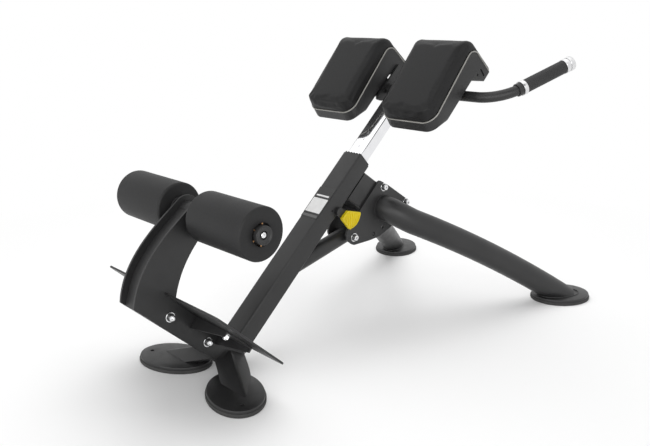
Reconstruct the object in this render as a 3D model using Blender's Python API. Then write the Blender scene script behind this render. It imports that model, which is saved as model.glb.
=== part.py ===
# Hyperextension bench: a slanted beam with a height-adjustable pair of pads,
# a roller arm with a footplate behind it, and two round legs in front.
# Metres, +Z up, +X towards the handles, +Y to the user's left.

import math

import bmesh
import bpy
from mathutils import Matrix, Vector

# Clearances, and how far the cutters reach past what they cut
FIT = 0.0003
RUNNING = 0.0006
HOLE_REACH = 0.060
SPACE_REACH = 0.700

# Frames: the bench's middle, the beam, the roller arm and the pads
MIDDLE_X = 0.5056
BEAM_ANGLE = 43.0
BEAM_ORIGIN_X = -0.0214
ARM_ANGLE = -43.0
PAD_ANGLE = 49.5
PAD_ORIGIN = (0.635, 0.718)

# Main beam, a rectangular tube: along the beam, across it and in its depth
BEAM_WIDTH = 0.064
BEAM_WALL = 0.003
BEAM_START = 0.095
BEAM_END = 0.730
BEAM_CORNER = 0.006
SIGHT_HOLE = (0.5565, -0.030)
SIGHT_HOLE_RADIUS = 0.003
CUT_THROUGH = 1.6

# Height tube, which slides in the beam, with its row of latch slots
TUBE_WIDTH = 0.054
TUBE_DEPTH = 0.036
TUBE_WALL = 0.0025
TUBE_CORNER = 0.004
TUBE_REAR_GAP = 0.008
TUBE_START = 0.300
TUBE_END = 1.018
SLOT_PITCH = 0.025
SLOT_COUNT = 9
SLOT_LENGTH = 0.012
SLOT_WIDTH = 0.020
SLOTS_ABOVE_TOOTH = 2
SLEEVE_LENGTH = 0.110
SLEEVE_LIP = 0.005
SLEEVE_TEETH = 5
SLEEVE_NOTCH = 0.0025
PLUG_CORNER = 0.002
GLIDE_LENGTH = 0.030
CAP_THICKNESS = 0.004
CAP_PLUG = 0.014

# Release latch: a pawl on a cross shaft, turned by a paddle beside the beam
LATCH_U = 0.569
SHAFT_RADIUS = 0.0028
SHAFT_TO_WALL = 0.0006
SHAFT_PAST_BEAM = 0.0105
PAWL_HALF_WIDTH = 0.008
PAWL_HUB_RADIUS = SHAFT_RADIUS + 0.0014
PAWL_TO_TUBE = 0.0004
PAWL_BACK = 0.003
PAWL_NECK = 0.001
PAWL_REACH = 0.015
TOOTH_LENGTH = 0.008
WINDOW_HALF_WIDTH = 0.011
WINDOW_BELOW = 0.014
WINDOW_ABOVE = 0.026
HUB_RADIUS = 0.012
HUB_THICKNESS = 0.009
HUB_NECK = ((0.011, 0.002), (0.022, -0.028), (0.014, -0.040), (-0.010, -0.040), (-0.012, -0.004))
HUB_NECK_THICKNESS = 0.003
PADDLE_THICKNESS = 0.008
PADDLE_EDGE = 0.0012
PADDLE_OUTLINE = (
    ((0.0165, -0.0140), 0.003),
    ((0.0455, -0.0600), 0.005),
    ((0.0265, -0.0690), 0.030),
    ((0.0074, -0.0715), 0.030),
    ((-0.0150, -0.0600), 0.005),
    ((-0.0135, -0.0120), 0.003),
)
PADDLE_POCKET = 0.002
PADDLE_POCKET_CORNER = 0.0015
PADDLE_POCKETS = (
    ((-0.0085, -0.0200), (0.0065, -0.0200), (-0.0080, -0.0440)),
    ((0.0120, -0.0190), (0.0165, -0.0260), (-0.0030, -0.0560), (-0.0085, -0.0520)),
    ((0.0210, -0.0300), (0.0370, -0.0560), (0.0220, -0.0620), (0.0060, -0.0560)),
)
SPRING_RADIUS = 0.0052
SPRING_WIRE = 0.0006
SPRING_GAP = 0.0005
SPRING_TURNS = 3
SPRING_LEGS = (0.010, 0.008)
SHAFT_HEAD_RADIUS = 0.007
SHAFT_HEAD = 0.0025

# Stub box on the beam's front face, which carries the side plates
BOX_ON_BEAM = 0.6627
BOX_ANGLE = -34.2
BOX_HEIGHT = 0.0916
BOX_WALL = 0.003
BOX_START = -0.020
BOX_LENGTH = 0.084
BOX_CORNER = 0.005

# Side plates, outlined along the box and across it from the box's root
PLATE_THICKNESS = 0.006
PLATE_OUTLINE = (
    ((0.0697, 0.0525), 0.010),
    ((0.1151, 0.0568), 0.040),
    ((0.2019, 0.0589), 0.040),
    ((0.2393, 0.0589), 0.012),
    ((0.2001, -0.0379), 0.008),
    ((0.1683, -0.0837), 0.040),
    ((0.1352, -0.1098), 0.040),
    ((0.0798, -0.1475), 0.022),
    ((0.0405, -0.1464), 0.022),
    ((0.0319, -0.1195), 0.020),
)
BOLT_A = (0.0975, 0.0435)
BOLT_B = (0.2181, 0.0455)
BOLT_C = (0.0686, -0.1272)
PLATE_HOLES = (((0.1395, -0.0875), 0.006), ((0.1644, -0.0549), 0.005), ((0.0946, -0.0055), 0.003))
SPACER_RADIUS = 0.011

# Brace tube, from the beam's front face to bolt C
BRACE_ON_BEAM = 0.386
BRACE_RADIUS = 0.0225
BRACE_WALL = 0.003
BRACE_PAST_BOLT = 0.017
BRACE_BOSS_RADIUS = 0.011

# Bolts with a domed socket head and a nut
BOLT_RADIUS = 0.006
BOLT_HEAD_RADIUS = 0.0115
BOLT_HEAD_HEIGHT = 0.0075
BOLT_SOCKET_RADIUS = 0.0045
BOLT_SOCKET_DEPTH = 0.004
BOLT_DOME = ((0.62, 0.0), (0.90, 0.0025), (1.0, 0.006))
NUT_RADIUS = 0.0105
NUT_HEIGHT = 0.009
NUT_EDGE = 0.001

# Front legs, from the side plates to the front feet
LEG_RADIUS = 0.0368
LEG_WALL = 0.003
LEG_ROOT = (0.1318, -0.0069)
LEG_SHOULDER = (0.0626, 0.070, -0.043)
LEG_SHOULDER_HANDLE = 0.030
LEG_IN_PLATE = 0.001
LEG_END = (1.108, 0.3444)
LEG_BULGE = 0.013

# Feet: an oval steel plate on an oval rubber pad
FOOT_HEIGHT = 0.0168
FOOT_RUBBER = 0.0098
FOOT_INSET = 0.003
FOOT_RUBBER_EDGE = 0.002
FOOT_PLATE_EDGE = 0.0015
FRONT_FOOT_CENTRE = (1.1206, 0.3427)
FRONT_FOOT_SIZE = (0.0944, 0.0766)
FRONT_FOOT_TURN = 29.9
REAR_FOOT_CENTRE = (-0.0063, 0.1274)
REAR_FOOT_SIZE = (0.1017, 0.0706)
REAR_FOOT_TURN = -66.3
FOOT_HOLE_RADIUS = 0.005
FOOT_HOLE_DEPTH = 0.003
REAR_FOOT_HOLES = ((-0.036, 0.193), (0.012, 0.050))

# Rear leg plate, one folded sheet: x, y of its corners on the sloping face
LEG_SHEET = 0.006
LEG_SINK = 0.0005
SLOPE = 0.697
SLOPE_START = -0.013
FOOT_LINE = (0.079, 0.177)
RIDGE_TOP = (0.054, 0.036)
CENTRE_EDGE = (0.020, 0.010)
FLANGE_TOP = (0.096, 0.033, 0.039)
FLANGE_FOOT_Y = 0.105
FLANGE_KNEE = (0.077, 0.075)
FOLD_RADIUS = 0.007
CHANNEL_GAP = 0.0005

# Roller arm: two curved plates with a web, on both sides of the base channel
ARM_INNER = 0.0265
ARM_PLATE = 0.0055
AXLE_A = -0.302
AXLE_T = 0.3045
ARM_TOP_RADIUS = 0.036
ARM_BOTTOM = 0.045
ARM_REAR_CURVE = ((-0.350, 0.232), (-0.3737, 0.125), (-0.315, 0.045))
ARM_FRONT_CURVE = ((-0.272, 0.245), (-0.275, 0.180), (-0.231, 0.1097))
ARM_FRONT_TOP = -0.020
ARM_FRONT_BOTTOM = -0.031
WEB_RECESS = 0.016
WEB_THICKNESS = 0.005
AXLE_BOSS_RADIUS = 0.022
ARM_BOLTS = ((-0.221, 0.074), (-0.085, 0.072))

# Base channel between the arm plates, which carries the beam's foot
CHANNEL_TOP = 0.0987
CHANNEL_WALL = 0.004
CHANNEL_REAR = -0.238
CHANNEL_OUTLINE = (0.0474, (0.052, -0.009), (-0.030, -0.0482))

# Footplate and the brackets under it
FOOTPLATE_BOTTOM = 0.110
FOOTPLATE_THICKNESS = 0.005
FOOTPLATE_REAR = -0.269
FOOTPLATE_FRONT = -0.020
FOOTPLATE_HALF_WIDTH = 0.229
FOOTPLATE_CORNER = 0.012
FOOTPLATE_NOTCH_CORNER = 0.003
FOOTPLATE_NOTCH_GAP = 0.001
BRACKET_REAR = -0.155
BRACKET_FRONT = -0.060
BRACKET_SHEET = 0.004
BRACKET_REACH = 0.150
BRACKET_ROOT = 0.077
BRACKET_TIP = 0.096

# Rollers: foam on a plastic core, turning on a fixed axle
ROLLER_RADIUS = 0.060
ROLLER_INNER_END = 0.0553
ROLLER_OUTER_END = 0.2506
ROLLER_ROUND = 0.006
AXLE_RADIUS = 0.010
CORE_RADIUS = 0.019
HUB_CAP_RADIUS = 0.027
HUB_CAP_FLANGE = 0.004
HUB_CAP_PLUG = 0.016
HUB_CAP_RECESS = 0.003
HUB_EDGE = 0.001
HUB_NOTCHES = 8
HUB_NOTCH_RADIUS = 0.0022
HUB_NOTCH_START = 0.0012
SCREW_RADIUS = 0.0125
SCREW_HEAD = 0.005
SCREW_DOME = (0.003, 0.002)
SCREW_SOCKET = 0.0035
SCREW_SOCKET_DEPTH = 0.003
SLEEVE_RADIUS = 0.016

# Pads: plateau, piping line and moulded underside, along the pad and in depth
PAD_INNER = 0.055
PAD_OUTER = 0.235
PAD_CORNER = 0.038
PAD_LOW_EDGE = -0.1265
PAD_LOW_PIPING = -0.137
PAD_TOP = 0.008
PAD_BEND = (0.085, PAD_TOP - 0.040, 0.040)
PIPING_BEND = (0.081, -0.057, 0.031)
PIPING_DEPTH = -0.026
PAD_FLAP_END = -0.133
PAD_CROWN = 0.002
SHELL_OUTLINE = (
    ((0.080, -0.134), 0.0),
    ((0.046, -0.087), 0.0),
    ((-0.104, -0.074), 0.6),
    ((-0.145, -0.056), 1.0),
)
SHELL_SLOT = ((0.091, -0.094), (0.088, -0.120))
SHELL_SLOT_WIDTH = 0.005
SHELL_HOLE = (0.072, -0.095)
SHELL_HOLE_RADIUS = 0.003
SHELL_RECESS = 0.004
SHELL_EDGE = 0.006
PAD_STATIONS = (
    (0.0, 0.05), (0.0020, 0.30), (0.0045, 0.62), (0.0075, 0.90), (0.0105, 1.0),
    (0.021, 1.0), (PAD_CORNER, 1.0), (0.062, 1.0), ((PAD_OUTER - PAD_INNER) / 2, 1.0),
)
PAD_FLATS = 4

# Handle tube across the height tube's top, with grips on its ends
HANDLE_U = 0.990
HANDLE_RADIUS = 0.014
HANDLE_WALL = 0.0025
HANDLE_STRAIGHT = 0.259
HANDLE_BEND = 0.096
HANDLE_DIRECTION = (0.886, 0.303, 0.350)
GRIP_START = 0.023
GRIP_LENGTH = 0.130
GRIP_RADIUS = HANDLE_RADIUS + 0.004
GRIP_RING_LENGTH = 0.006
GRIP_COLLAR_LENGTH = 0.011
GRIP_RING_RADIUS = HANDLE_RADIUS + 0.0055
GRIP_CAP_LENGTH = 0.012
GRIP_GROOVE = 0.004
GRIP_GROOVE_DEPTH = 0.003
GRIP_PLUG = 0.012
GRIP_RING_EDGE = 0.001
GRIP_CAP_EDGE = 0.002

# Carriers that hold the pads on the handle tube, each with two lugs
CARRIER_PLATE = 0.005
CARRIER_REACH = 0.045
CARRIER_INSET = 0.012
CHEEK_THICKNESS = 0.006
CHEEK_OUTLINE = (
    ((-0.048, -0.0780), 0.005),
    ((0.092, -0.0915), 0.004),
    ((0.078, -0.1120), 0.010),
    ((0.034, -0.1285), 0.012),
    ((-0.010, -0.1285), 0.012),
    ((-0.038, -0.1000), 0.008),
)
LUG_THICKNESS = 0.006
LUG_PLACES = (0.085, 0.205)
LUG_HALF_WIDTH = 0.022
LUG_SPREAD = 1.6
LUG_IN_PLATE = 0.002
LUG_PAST_TUBE = (0.004, 0.006)


def tilted(x, z, degrees):
    """A frame whose first axis rises by this angle from +X."""
    turn = Matrix.Rotation(-math.radians(degrees), 4, "Y")
    return Matrix.Translation((x, 0, z)) @ turn


# The beam's depth holds the height tube, the pawl beside it and the shaft
TUBE_FRONT = TUBE_REAR_GAP + TUBE_DEPTH
SHAFT_DEPTH = TUBE_FRONT + PAWL_TO_TUBE + PAWL_HUB_RADIUS
BEAM_DEPTH = SHAFT_DEPTH + SHAFT_RADIUS + SHAFT_TO_WALL + BEAM_WALL

GROUND = Matrix.Translation((-MIDDLE_X, 0, 0))
BEAM = GROUND @ tilted(BEAM_ORIGIN_X, 0, BEAM_ANGLE)
ARM = GROUND @ tilted(0, 0, ARM_ANGLE)
PAD = GROUND @ tilted(*PAD_ORIGIN, PAD_ANGLE)
BOX = BEAM @ tilted(BOX_ON_BEAM, -BEAM_DEPTH, BOX_ANGLE - BEAM_ANGLE)
LATCH = BEAM @ Matrix.Translation((LATCH_U, 0, -SHAFT_DEPTH))
AXLE = ARM @ Matrix.Translation((AXLE_A, 0, AXLE_T))
TUBE_MIDDLE = -(TUBE_REAR_GAP + TUBE_DEPTH / 2)
PLATE_INNER = BEAM_WIDTH / 2 + FIT
PLATE_OUTER = PLATE_INNER + PLATE_THICKNESS
TOOTH_U = PAWL_REACH - TOOTH_LENGTH / 2
SIDES = (("right", -1), ("left", 1))


def material(name, colour, metallic, roughness):
    made = bpy.data.materials.new(name)
    made.use_nodes = True
    shader = made.node_tree.nodes["Principled BSDF"]
    shader.inputs["Base Color"].default_value = (*colour, 1)
    shader.inputs["Metallic"].default_value = metallic
    shader.inputs["Roughness"].default_value = roughness
    made.diffuse_color = (*colour, 1)
    return made


def materials():
    return {
        "frame": material("black_powder_coat", (0.022, 0.022, 0.023), 0.0, 0.42),
        "chrome": material("chrome_tube", (0.80, 0.80, 0.82), 1.0, 0.12),
        "zinc": material("zinc_fastener", (0.62, 0.62, 0.64), 1.0, 0.30),
        "aluminium": material("aluminium", (0.70, 0.70, 0.71), 1.0, 0.32),
        "foam": material("black_foam", (0.020, 0.020, 0.021), 0.0, 0.75),
        "vinyl": material("black_vinyl", (0.018, 0.018, 0.019), 0.0, 0.50),
        "rubber": material("black_rubber", (0.025, 0.025, 0.026), 0.0, 0.80),
        "plastic": material("black_plastic", (0.020, 0.020, 0.021), 0.0, 0.45),
        "yellow": material("yellow_plastic", (0.85, 0.66, 0.03), 0.0, 0.38),
        "spring": material("spring_steel", (0.45, 0.45, 0.47), 1.0, 0.35),
    }


# Scene helpers

def clear_scene():
    for obj in list(bpy.data.objects):
        bpy.data.objects.remove(obj, do_unlink=True)


def pivot(name, frame, parent=None):
    """An empty that carries the pieces of one body."""
    empty = bpy.data.objects.new(name, None)
    bpy.context.collection.objects.link(empty)
    if parent:
        empty.parent = parent
        empty.matrix_parent_inverse = Matrix(parent["frame"]).inverted()
    empty.matrix_basis = frame
    empty["frame"] = [list(row) for row in frame]
    return empty


def add(name, bm, look, frame, parent=None, sharp=30):
    """One named object from a mesh built in the given frame."""
    mesh = bpy.data.meshes.new(name)
    bmesh.ops.recalc_face_normals(bm, faces=bm.faces)
    bm.to_mesh(mesh)
    bm.free()
    mesh.shade_smooth()
    mesh.set_sharp_from_angle(angle=math.radians(sharp))
    obj = bpy.data.objects.new(name, mesh)
    if look:
        mesh.materials.append(look)
    bpy.context.collection.objects.link(obj)
    if parent:
        obj.parent = parent
        obj.matrix_parent_inverse = Matrix(parent["frame"]).inverted()
    obj.matrix_basis = frame
    return obj


def shaped(obj, label, bm, frame, operation="DIFFERENCE"):
    """Cuts a closed shape from the object, or joins it to the object."""
    other = add(f"{obj.name}_{label}", bm, None, frame)
    other.hide_render = True
    other.display_type = "WIRE"
    boolean = obj.modifiers.new(label, "BOOLEAN")
    boolean.operation = operation
    boolean.solver = "EXACT"
    boolean.object = other
    return obj


# Outlines in a plane

def arc(centre, radius, start, end, steps):
    """Points along an arc, in degrees."""
    points = []
    for i in range(steps + 1):
        angle = math.radians(start + (end - start) * i / steps)
        points.append((centre[0] + radius * math.cos(angle), centre[1] + radius * math.sin(angle)))
    return points


def bezier(start, first, second, end, steps):
    points = []
    for i in range(steps + 1):
        t = i / steps
        weights = ((1 - t) ** 3, 3 * t * (1 - t) ** 2, 3 * t * t * (1 - t), t ** 3)
        corners = (start, first, second, end)
        size = len(start)
        points.append(tuple(sum(w * c[k] for w, c in zip(weights, corners)) for k in range(size)))
    return points


def rounded(corners, steps=3):
    """A closed outline with each corner ((x, z), radius) rounded, limited by its sides."""
    outline = []
    for i, (point, radius) in enumerate(corners):
        here = Vector(point)
        back = Vector(corners[i - 1][0]) - here
        ahead = Vector(corners[(i + 1) % len(corners)][0]) - here
        half = back.angle(ahead) / 2
        reach = min(radius / math.tan(half), 0.48 * back.length, 0.48 * ahead.length)
        if reach < 1e-6:
            outline.append(tuple(here))
            continue
        centre = here + (back.normalized() + ahead.normalized()).normalized() * reach / math.cos(half)
        first = here + back.normalized() * reach - centre
        last = here + ahead.normalized() * reach - centre
        sweep = first.angle_signed(last)
        for k in range(steps + 1):
            outline.append(tuple(centre + Matrix.Rotation(-sweep * k / steps, 2) @ first))
    return outline


def rectangle(width, depth, corner, middle=0.0, steps=3):
    """A rounded rectangle, across Y and in the depth Z."""
    half = width / 2
    low = middle - depth / 2
    high = middle + depth / 2
    corners = ((-half, low), (half, low), (half, high), (-half, high))
    return rounded([(corner_point, corner) for corner_point in corners], steps)


# Solids

def loft(rings, closed=False):
    """A solid through rings of equal count, capped at its ends or closed on itself."""
    bm = bmesh.new()
    loops = [[bm.verts.new(point) for point in ring] for ring in rings]
    pairs = list(zip(loops, loops[1:]))
    if closed:
        pairs.append((loops[-1], loops[0]))
    for first, second in pairs:
        count = len(first)
        for i in range(count):
            j = (i + 1) % count
            bm.faces.new((first[i], first[j], second[j], second[i]))
    if not closed:
        bm.faces.new(loops[0])
        bm.faces.new(loops[-1])
    return bm


def prism(outline, low, high):
    """An outline in the frame's XZ plane, extruded along Y."""
    bm = bmesh.new()
    face = bm.faces.new([bm.verts.new((x, low, z)) for x, z in outline])
    grown = bmesh.ops.extrude_face_region(bm, geom=[face])["geom"]
    moved = [item for item in grown if isinstance(item, bmesh.types.BMVert)]
    bmesh.ops.translate(bm, vec=(0, high - low, 0), verts=moved)
    return bm


def slab(outline, low, high):
    """An outline in the frame's XY plane, extruded along Z."""
    bm = bmesh.new()
    face = bm.faces.new([bm.verts.new((x, y, low)) for x, y in outline])
    grown = bmesh.ops.extrude_face_region(bm, geom=[face])["geom"]
    moved = [item for item in grown if isinstance(item, bmesh.types.BMVert)]
    bmesh.ops.translate(bm, vec=(0, 0, high - low), verts=moved)
    return bm


def block(low, high, bm=None):
    """A box between two corners, added to a mesh where one is given."""
    bm = bm or bmesh.new()
    size = Vector(high) - Vector(low)
    middle = (Vector(high) + Vector(low)) / 2
    matrix = Matrix.Translation(middle) @ Matrix.Diagonal((*size, 1))
    bmesh.ops.create_cube(bm, size=1, matrix=matrix)
    return bm


def rod(radius, low, high, sides=16, place=(0, 0), bm=None):
    """A plain cylinder along Y, used for pins and for holes."""
    bm = bm or bmesh.new()
    turn = Matrix.Rotation(math.radians(90), 4, "X")
    matrix = Matrix.Translation((place[0], (low + high) / 2, place[1])) @ turn
    bmesh.ops.create_cone(
        bm, cap_ends=True, segments=sides, radius1=radius, radius2=radius, depth=high - low, matrix=matrix
    )
    return bm


def turned(profile, steps=24, ring=False):
    """A profile of (radius, y) points spun about Y. A ring's profile closes on itself."""
    bm = bmesh.new()
    verts = [bm.verts.new((radius, y, 0)) for radius, y in profile]
    edges = [bm.edges.new(pair) for pair in zip(verts, verts[1:])]
    if ring:
        edges.append(bm.edges.new((verts[-1], verts[0])))
    bmesh.ops.spin(
        bm, geom=verts + edges, cent=(0, 0, 0), axis=(0, 1, 0), angle=math.tau, steps=steps, use_merge=True
    )
    bmesh.ops.remove_doubles(bm, verts=bm.verts, dist=1e-6)
    return bm


def tube_shell(width, depth, wall, corner, middle, start, end):
    """A rectangular tube along the frame's X."""
    outer = rectangle(width, depth, corner, middle)
    inner = rectangle(width - 2 * wall, depth - 2 * wall, max(corner - wall, 0.001), middle)
    rings = [[(start, *p) for p in outer], [(end, *p) for p in outer]]
    rings += [[(end, *p) for p in inner], [(start, *p) for p in inner]]
    return loft(rings, closed=True)


def circle_about(point, along, across, radius, sides):
    """A ring of points round a path's point."""
    third = along.cross(across).normalized()
    flat = third.cross(along).normalized()
    ring = []
    for i in range(sides):
        angle = math.tau * i / sides
        ring.append(point + radius * (math.cos(angle) * flat + math.sin(angle) * third))
    return ring


def directions(path):
    """The unit direction at each point of a path."""
    found = []
    for i in range(len(path)):
        before = path[max(i - 1, 0)]
        after = path[min(i + 1, len(path) - 1)]
        found.append((after - before).normalized())
    return found


def pipe(path, across, radius, wall, sides=24, ends=None):
    """A round tube along a path that turns in one plane; across is the plane's normal."""
    along = directions(path)
    if ends:
        along[0], along[-1] = (Vector(end).normalized() for end in ends)
    outer = [circle_about(p, d, across, radius, sides) for p, d in zip(path, along)]
    if wall is None:
        return loft(outer)
    inner = [circle_about(p, d, across, radius - wall, sides) for p, d in zip(path, along)]
    return loft(outer + inner[::-1], closed=True)


def ring_piece(bore, radius, low, high, steps=24, edge=0.0):
    """A turned collar with a bore and a small outer chamfer."""
    profile = [(bore, low), (radius - edge, low), (radius, low + edge), (radius, high - edge)]
    profile += [(radius - edge, high), (bore, high)]
    if edge == 0.0:
        profile = [(bore, low), (radius, low), (radius, high), (bore, high)]
    return turned(profile, steps, ring=True)


# Beam and height tube

def main_beam(looks, body):
    bm = tube_shell(BEAM_WIDTH, BEAM_DEPTH, BEAM_WALL, BEAM_CORNER, -BEAM_DEPTH / 2, BEAM_START, BEAM_END)
    beam = add("main_beam", bm, looks["frame"], BEAM, body)
    floor_low = (-SPACE_REACH, -BEAM_WIDTH, -SPACE_REACH)
    floor = block(floor_low, (SPACE_REACH, BEAM_WIDTH, CHANNEL_TOP + FIT))
    shaped(beam, "foot_cut", floor, ARM)
    window_low = (LATCH_U - WINDOW_BELOW, -WINDOW_HALF_WIDTH, -BEAM_DEPTH - BEAM_WALL)
    window_high = (LATCH_U + WINDOW_ABOVE, WINDOW_HALF_WIDTH, -BEAM_DEPTH + CUT_THROUGH * BEAM_WALL)
    shaped(beam, "pawl_window", block(window_low, window_high), BEAM)
    shaped(beam, "shaft_hole", rod(SHAFT_RADIUS + FIT, -BEAM_WIDTH, BEAM_WIDTH), LATCH)
    hole = rod(SIGHT_HOLE_RADIUS, -BEAM_WIDTH, 0, 12, SIGHT_HOLE)
    return shaped(beam, "sight_hole", hole, BEAM)


def guide_sleeve(looks, body):
    """The plastic liner in the beam's mouth, with a toothed lip round the tube."""
    width = BEAM_WIDTH - 2 * BEAM_WALL - 2 * FIT
    depth = BEAM_DEPTH - 2 * BEAM_WALL - 2 * FIT
    outer = rectangle(width, depth, BEAM_CORNER - BEAM_WALL, -BEAM_DEPTH / 2)
    lip = rectangle(BEAM_WIDTH - BEAM_WALL, BEAM_DEPTH - BEAM_WALL, BEAM_CORNER, -BEAM_DEPTH / 2)
    bore = rectangle(TUBE_WIDTH + 2 * RUNNING, TUBE_DEPTH + 2 * RUNNING, TUBE_CORNER, TUBE_MIDDLE)
    start = BEAM_END - SLEEVE_LENGTH
    seat = BEAM_END + FIT
    end = seat + SLEEVE_LIP
    rings = [[(start, *p) for p in outer], [(seat, *p) for p in outer], [(seat, *p) for p in lip]]
    rings += [[(end, *p) for p in lip], [(end, *p) for p in bore], [(start, *p) for p in bore]]
    sleeve = add("guide_sleeve", loft(rings, closed=True), looks["plastic"], BEAM, body)
    notches = bmesh.new()
    pitch = (BEAM_WIDTH - 2 * BEAM_CORNER) / SLEEVE_TEETH
    for i in range(SLEEVE_TEETH):
        y = (i - (SLEEVE_TEETH - 1) / 2) * pitch
        low = (end - SLEEVE_NOTCH, y - pitch / 4, -TUBE_REAR_GAP + SLEEVE_NOTCH)
        block(low, (end + SLEEVE_NOTCH, y + pitch / 4, SLEEVE_NOTCH), notches)
    return shaped(sleeve, "lip_notches", notches, BEAM)


def height_tube(looks, body):
    bm = tube_shell(TUBE_WIDTH, TUBE_DEPTH, TUBE_WALL, TUBE_CORNER, TUBE_MIDDLE, TUBE_START, TUBE_END)
    tube = add("height_tube", bm, looks["chrome"], BEAM, body)
    slots = bmesh.new()
    for i in range(SLOT_COUNT):
        middle = LATCH_U + TOOTH_U + (SLOTS_ABOVE_TOOTH - i) * SLOT_PITCH
        low = (middle - SLOT_LENGTH / 2, -SLOT_WIDTH / 2, -TUBE_FRONT - TUBE_WALL)
        high = (middle + SLOT_LENGTH / 2, SLOT_WIDTH / 2, -TUBE_FRONT + CUT_THROUGH * TUBE_WALL)
        block(low, high, slots)
    shaped(tube, "latch_slots", slots, BEAM)
    hole = rod(HANDLE_RADIUS + FIT, -TUBE_WIDTH, TUBE_WIDTH, 32, (HANDLE_U, TUBE_MIDDLE))
    return shaped(tube, "handle_hole", hole, BEAM)


def tube_glide(looks, body):
    """The plastic shoe at the height tube's lower end, which runs in the beam."""
    width = BEAM_WIDTH - 2 * BEAM_WALL - 2 * RUNNING
    depth = BEAM_DEPTH - 2 * BEAM_WALL - 2 * RUNNING
    shoe = rectangle(width, depth, BEAM_CORNER - BEAM_WALL, -BEAM_DEPTH / 2)
    plug_width = TUBE_WIDTH - 2 * TUBE_WALL - 2 * FIT
    plug = rectangle(plug_width, TUBE_DEPTH - 2 * TUBE_WALL - 2 * FIT, PLUG_CORNER, TUBE_MIDDLE)
    seat = TUBE_START - FIT
    rings = [[(seat - GLIDE_LENGTH / 3, *p) for p in shoe], [(seat, *p) for p in shoe]]
    rings += [[(seat, *p) for p in plug], [(seat + GLIDE_LENGTH, *p) for p in plug]]
    return add("tube_glide", loft(rings), looks["plastic"], BEAM, body)


def tube_cap(looks, body):
    lip = rectangle(TUBE_WIDTH, TUBE_DEPTH, TUBE_CORNER, TUBE_MIDDLE)
    plug_width = TUBE_WIDTH - 2 * TUBE_WALL - 2 * FIT
    plug = rectangle(plug_width, TUBE_DEPTH - 2 * TUBE_WALL - 2 * FIT, PLUG_CORNER, TUBE_MIDDLE)
    seat = TUBE_END + FIT
    plug_end = max(seat - CAP_PLUG, HANDLE_U + HANDLE_RADIUS + RUNNING)
    rings = [[(plug_end, *p) for p in plug], [(seat, *p) for p in plug]]
    rings += [[(seat, *p) for p in lip], [(seat + CAP_THICKNESS, *p) for p in lip]]
    return add("tube_cap", loft(rings), looks["plastic"], BEAM, body)


# Release latch

def latch_shaft(looks, body):
    """The cross shaft, with a head at its left end that keeps the spring on."""
    start = -(PLATE_INNER + HUB_THICKNESS - FIT)
    end = BEAM_WIDTH / 2 + SHAFT_PAST_BEAM
    head = end - SHAFT_HEAD
    profile = [(0, start), (SHAFT_RADIUS, start), (SHAFT_RADIUS, head), (SHAFT_HEAD_RADIUS, head)]
    profile += [(SHAFT_HEAD_RADIUS, end), (0, end)]
    return add("latch_shaft", turned(profile, 16), looks["zinc"], LATCH, body)


def latch_pawl(looks, body):
    """The pawl on the shaft, with a tooth that faces the height tube's slots."""
    tip = PAWL_HUB_RADIUS
    tooth_start = PAWL_REACH - TOOTH_LENGTH
    outline = arc((0, 0), PAWL_HUB_RADIUS, 60, 300, 10)
    outline += [(tooth_start - 2 * PAWL_NECK, -tip), (PAWL_REACH + PAWL_NECK, -PAWL_BACK), (PAWL_REACH, tip)]
    outline += [(tooth_start, tip), (tooth_start - PAWL_NECK, PAWL_NECK)]
    outline.append((SHAFT_RADIUS + PAWL_NECK, PAWL_NECK))
    pawl = add("latch_pawl", prism(outline, -PAWL_HALF_WIDTH, PAWL_HALF_WIDTH), looks["zinc"], LATCH, body)
    return shaped(pawl, "bore", rod(SHAFT_RADIUS + FIT, -HOLE_REACH, HOLE_REACH), LATCH)


def lever_hub(looks, body):
    """The black root of the lever, with the neck that carries the paddle."""
    near = -PLATE_INNER
    far = near - HUB_THICKNESS
    hub = add("lever_hub", rod(HUB_RADIUS, far, near, 28), looks["plastic"], LATCH, body)
    shaped(hub, "neck", prism(HUB_NECK, far, far + HUB_NECK_THICKNESS), LATCH, "UNION")
    return shaped(hub, "bore", rod(SHAFT_RADIUS + FIT, -HOLE_REACH, 0), LATCH)


def lever_paddle(looks, body):
    """The yellow paddle, a fan with moulded ribs between slanted pockets."""
    near = -(PLATE_INNER + HUB_THICKNESS + FIT)
    far = near - PADDLE_THICKNESS
    bm = prism(rounded(PADDLE_OUTLINE), far, near)
    paddle = add("lever_paddle", bm, looks["yellow"], LATCH, body)
    bevel = paddle.modifiers.new("edge", "BEVEL")
    bevel.width = PADDLE_EDGE
    bevel.segments = 2
    bevel.limit_method = "ANGLE"
    bevel.angle_limit = math.radians(50)
    for i, corners in enumerate(PADDLE_POCKETS):
        outline = rounded([(p, PADDLE_POCKET_CORNER) for p in corners], 2)
        pocket = prism(outline, far - PADDLE_POCKET, far + PADDLE_POCKET)
        shaped(paddle, f"pocket_{i + 1}", pocket, LATCH)
    return paddle


def latch_spring(looks, body):
    """The torsion spring round the shaft's left end, beside the beam."""
    start = BEAM_WIDTH / 2 + FIT + SPRING_WIRE
    pitch = 2 * SPRING_WIRE + SPRING_GAP
    steps = 10
    path = []
    for i in range(SPRING_TURNS * steps + 1):
        angle = math.tau * i / steps
        turn = (math.cos(angle), math.sin(angle))
        path.append(Vector((SPRING_RADIUS * turn[0], start + pitch * i / steps, SPRING_RADIUS * turn[1])))
    up = Vector((0, 0, 1))
    path.insert(0, path[0] - SPRING_LEGS[0] * up)
    path.append(path[-1] + SPRING_LEGS[1] * up)
    return add("latch_spring", wire(path, SPRING_WIRE), looks["spring"], LATCH, body)


def wire(path, radius, sides=5):
    """A thin round wire along any path."""
    along = directions(path)
    rings = [circle_about(p, d, Vector((0, 1, 0)), radius, sides) for p, d in zip(path, along)]
    return loft(rings)


# Front frame

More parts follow.
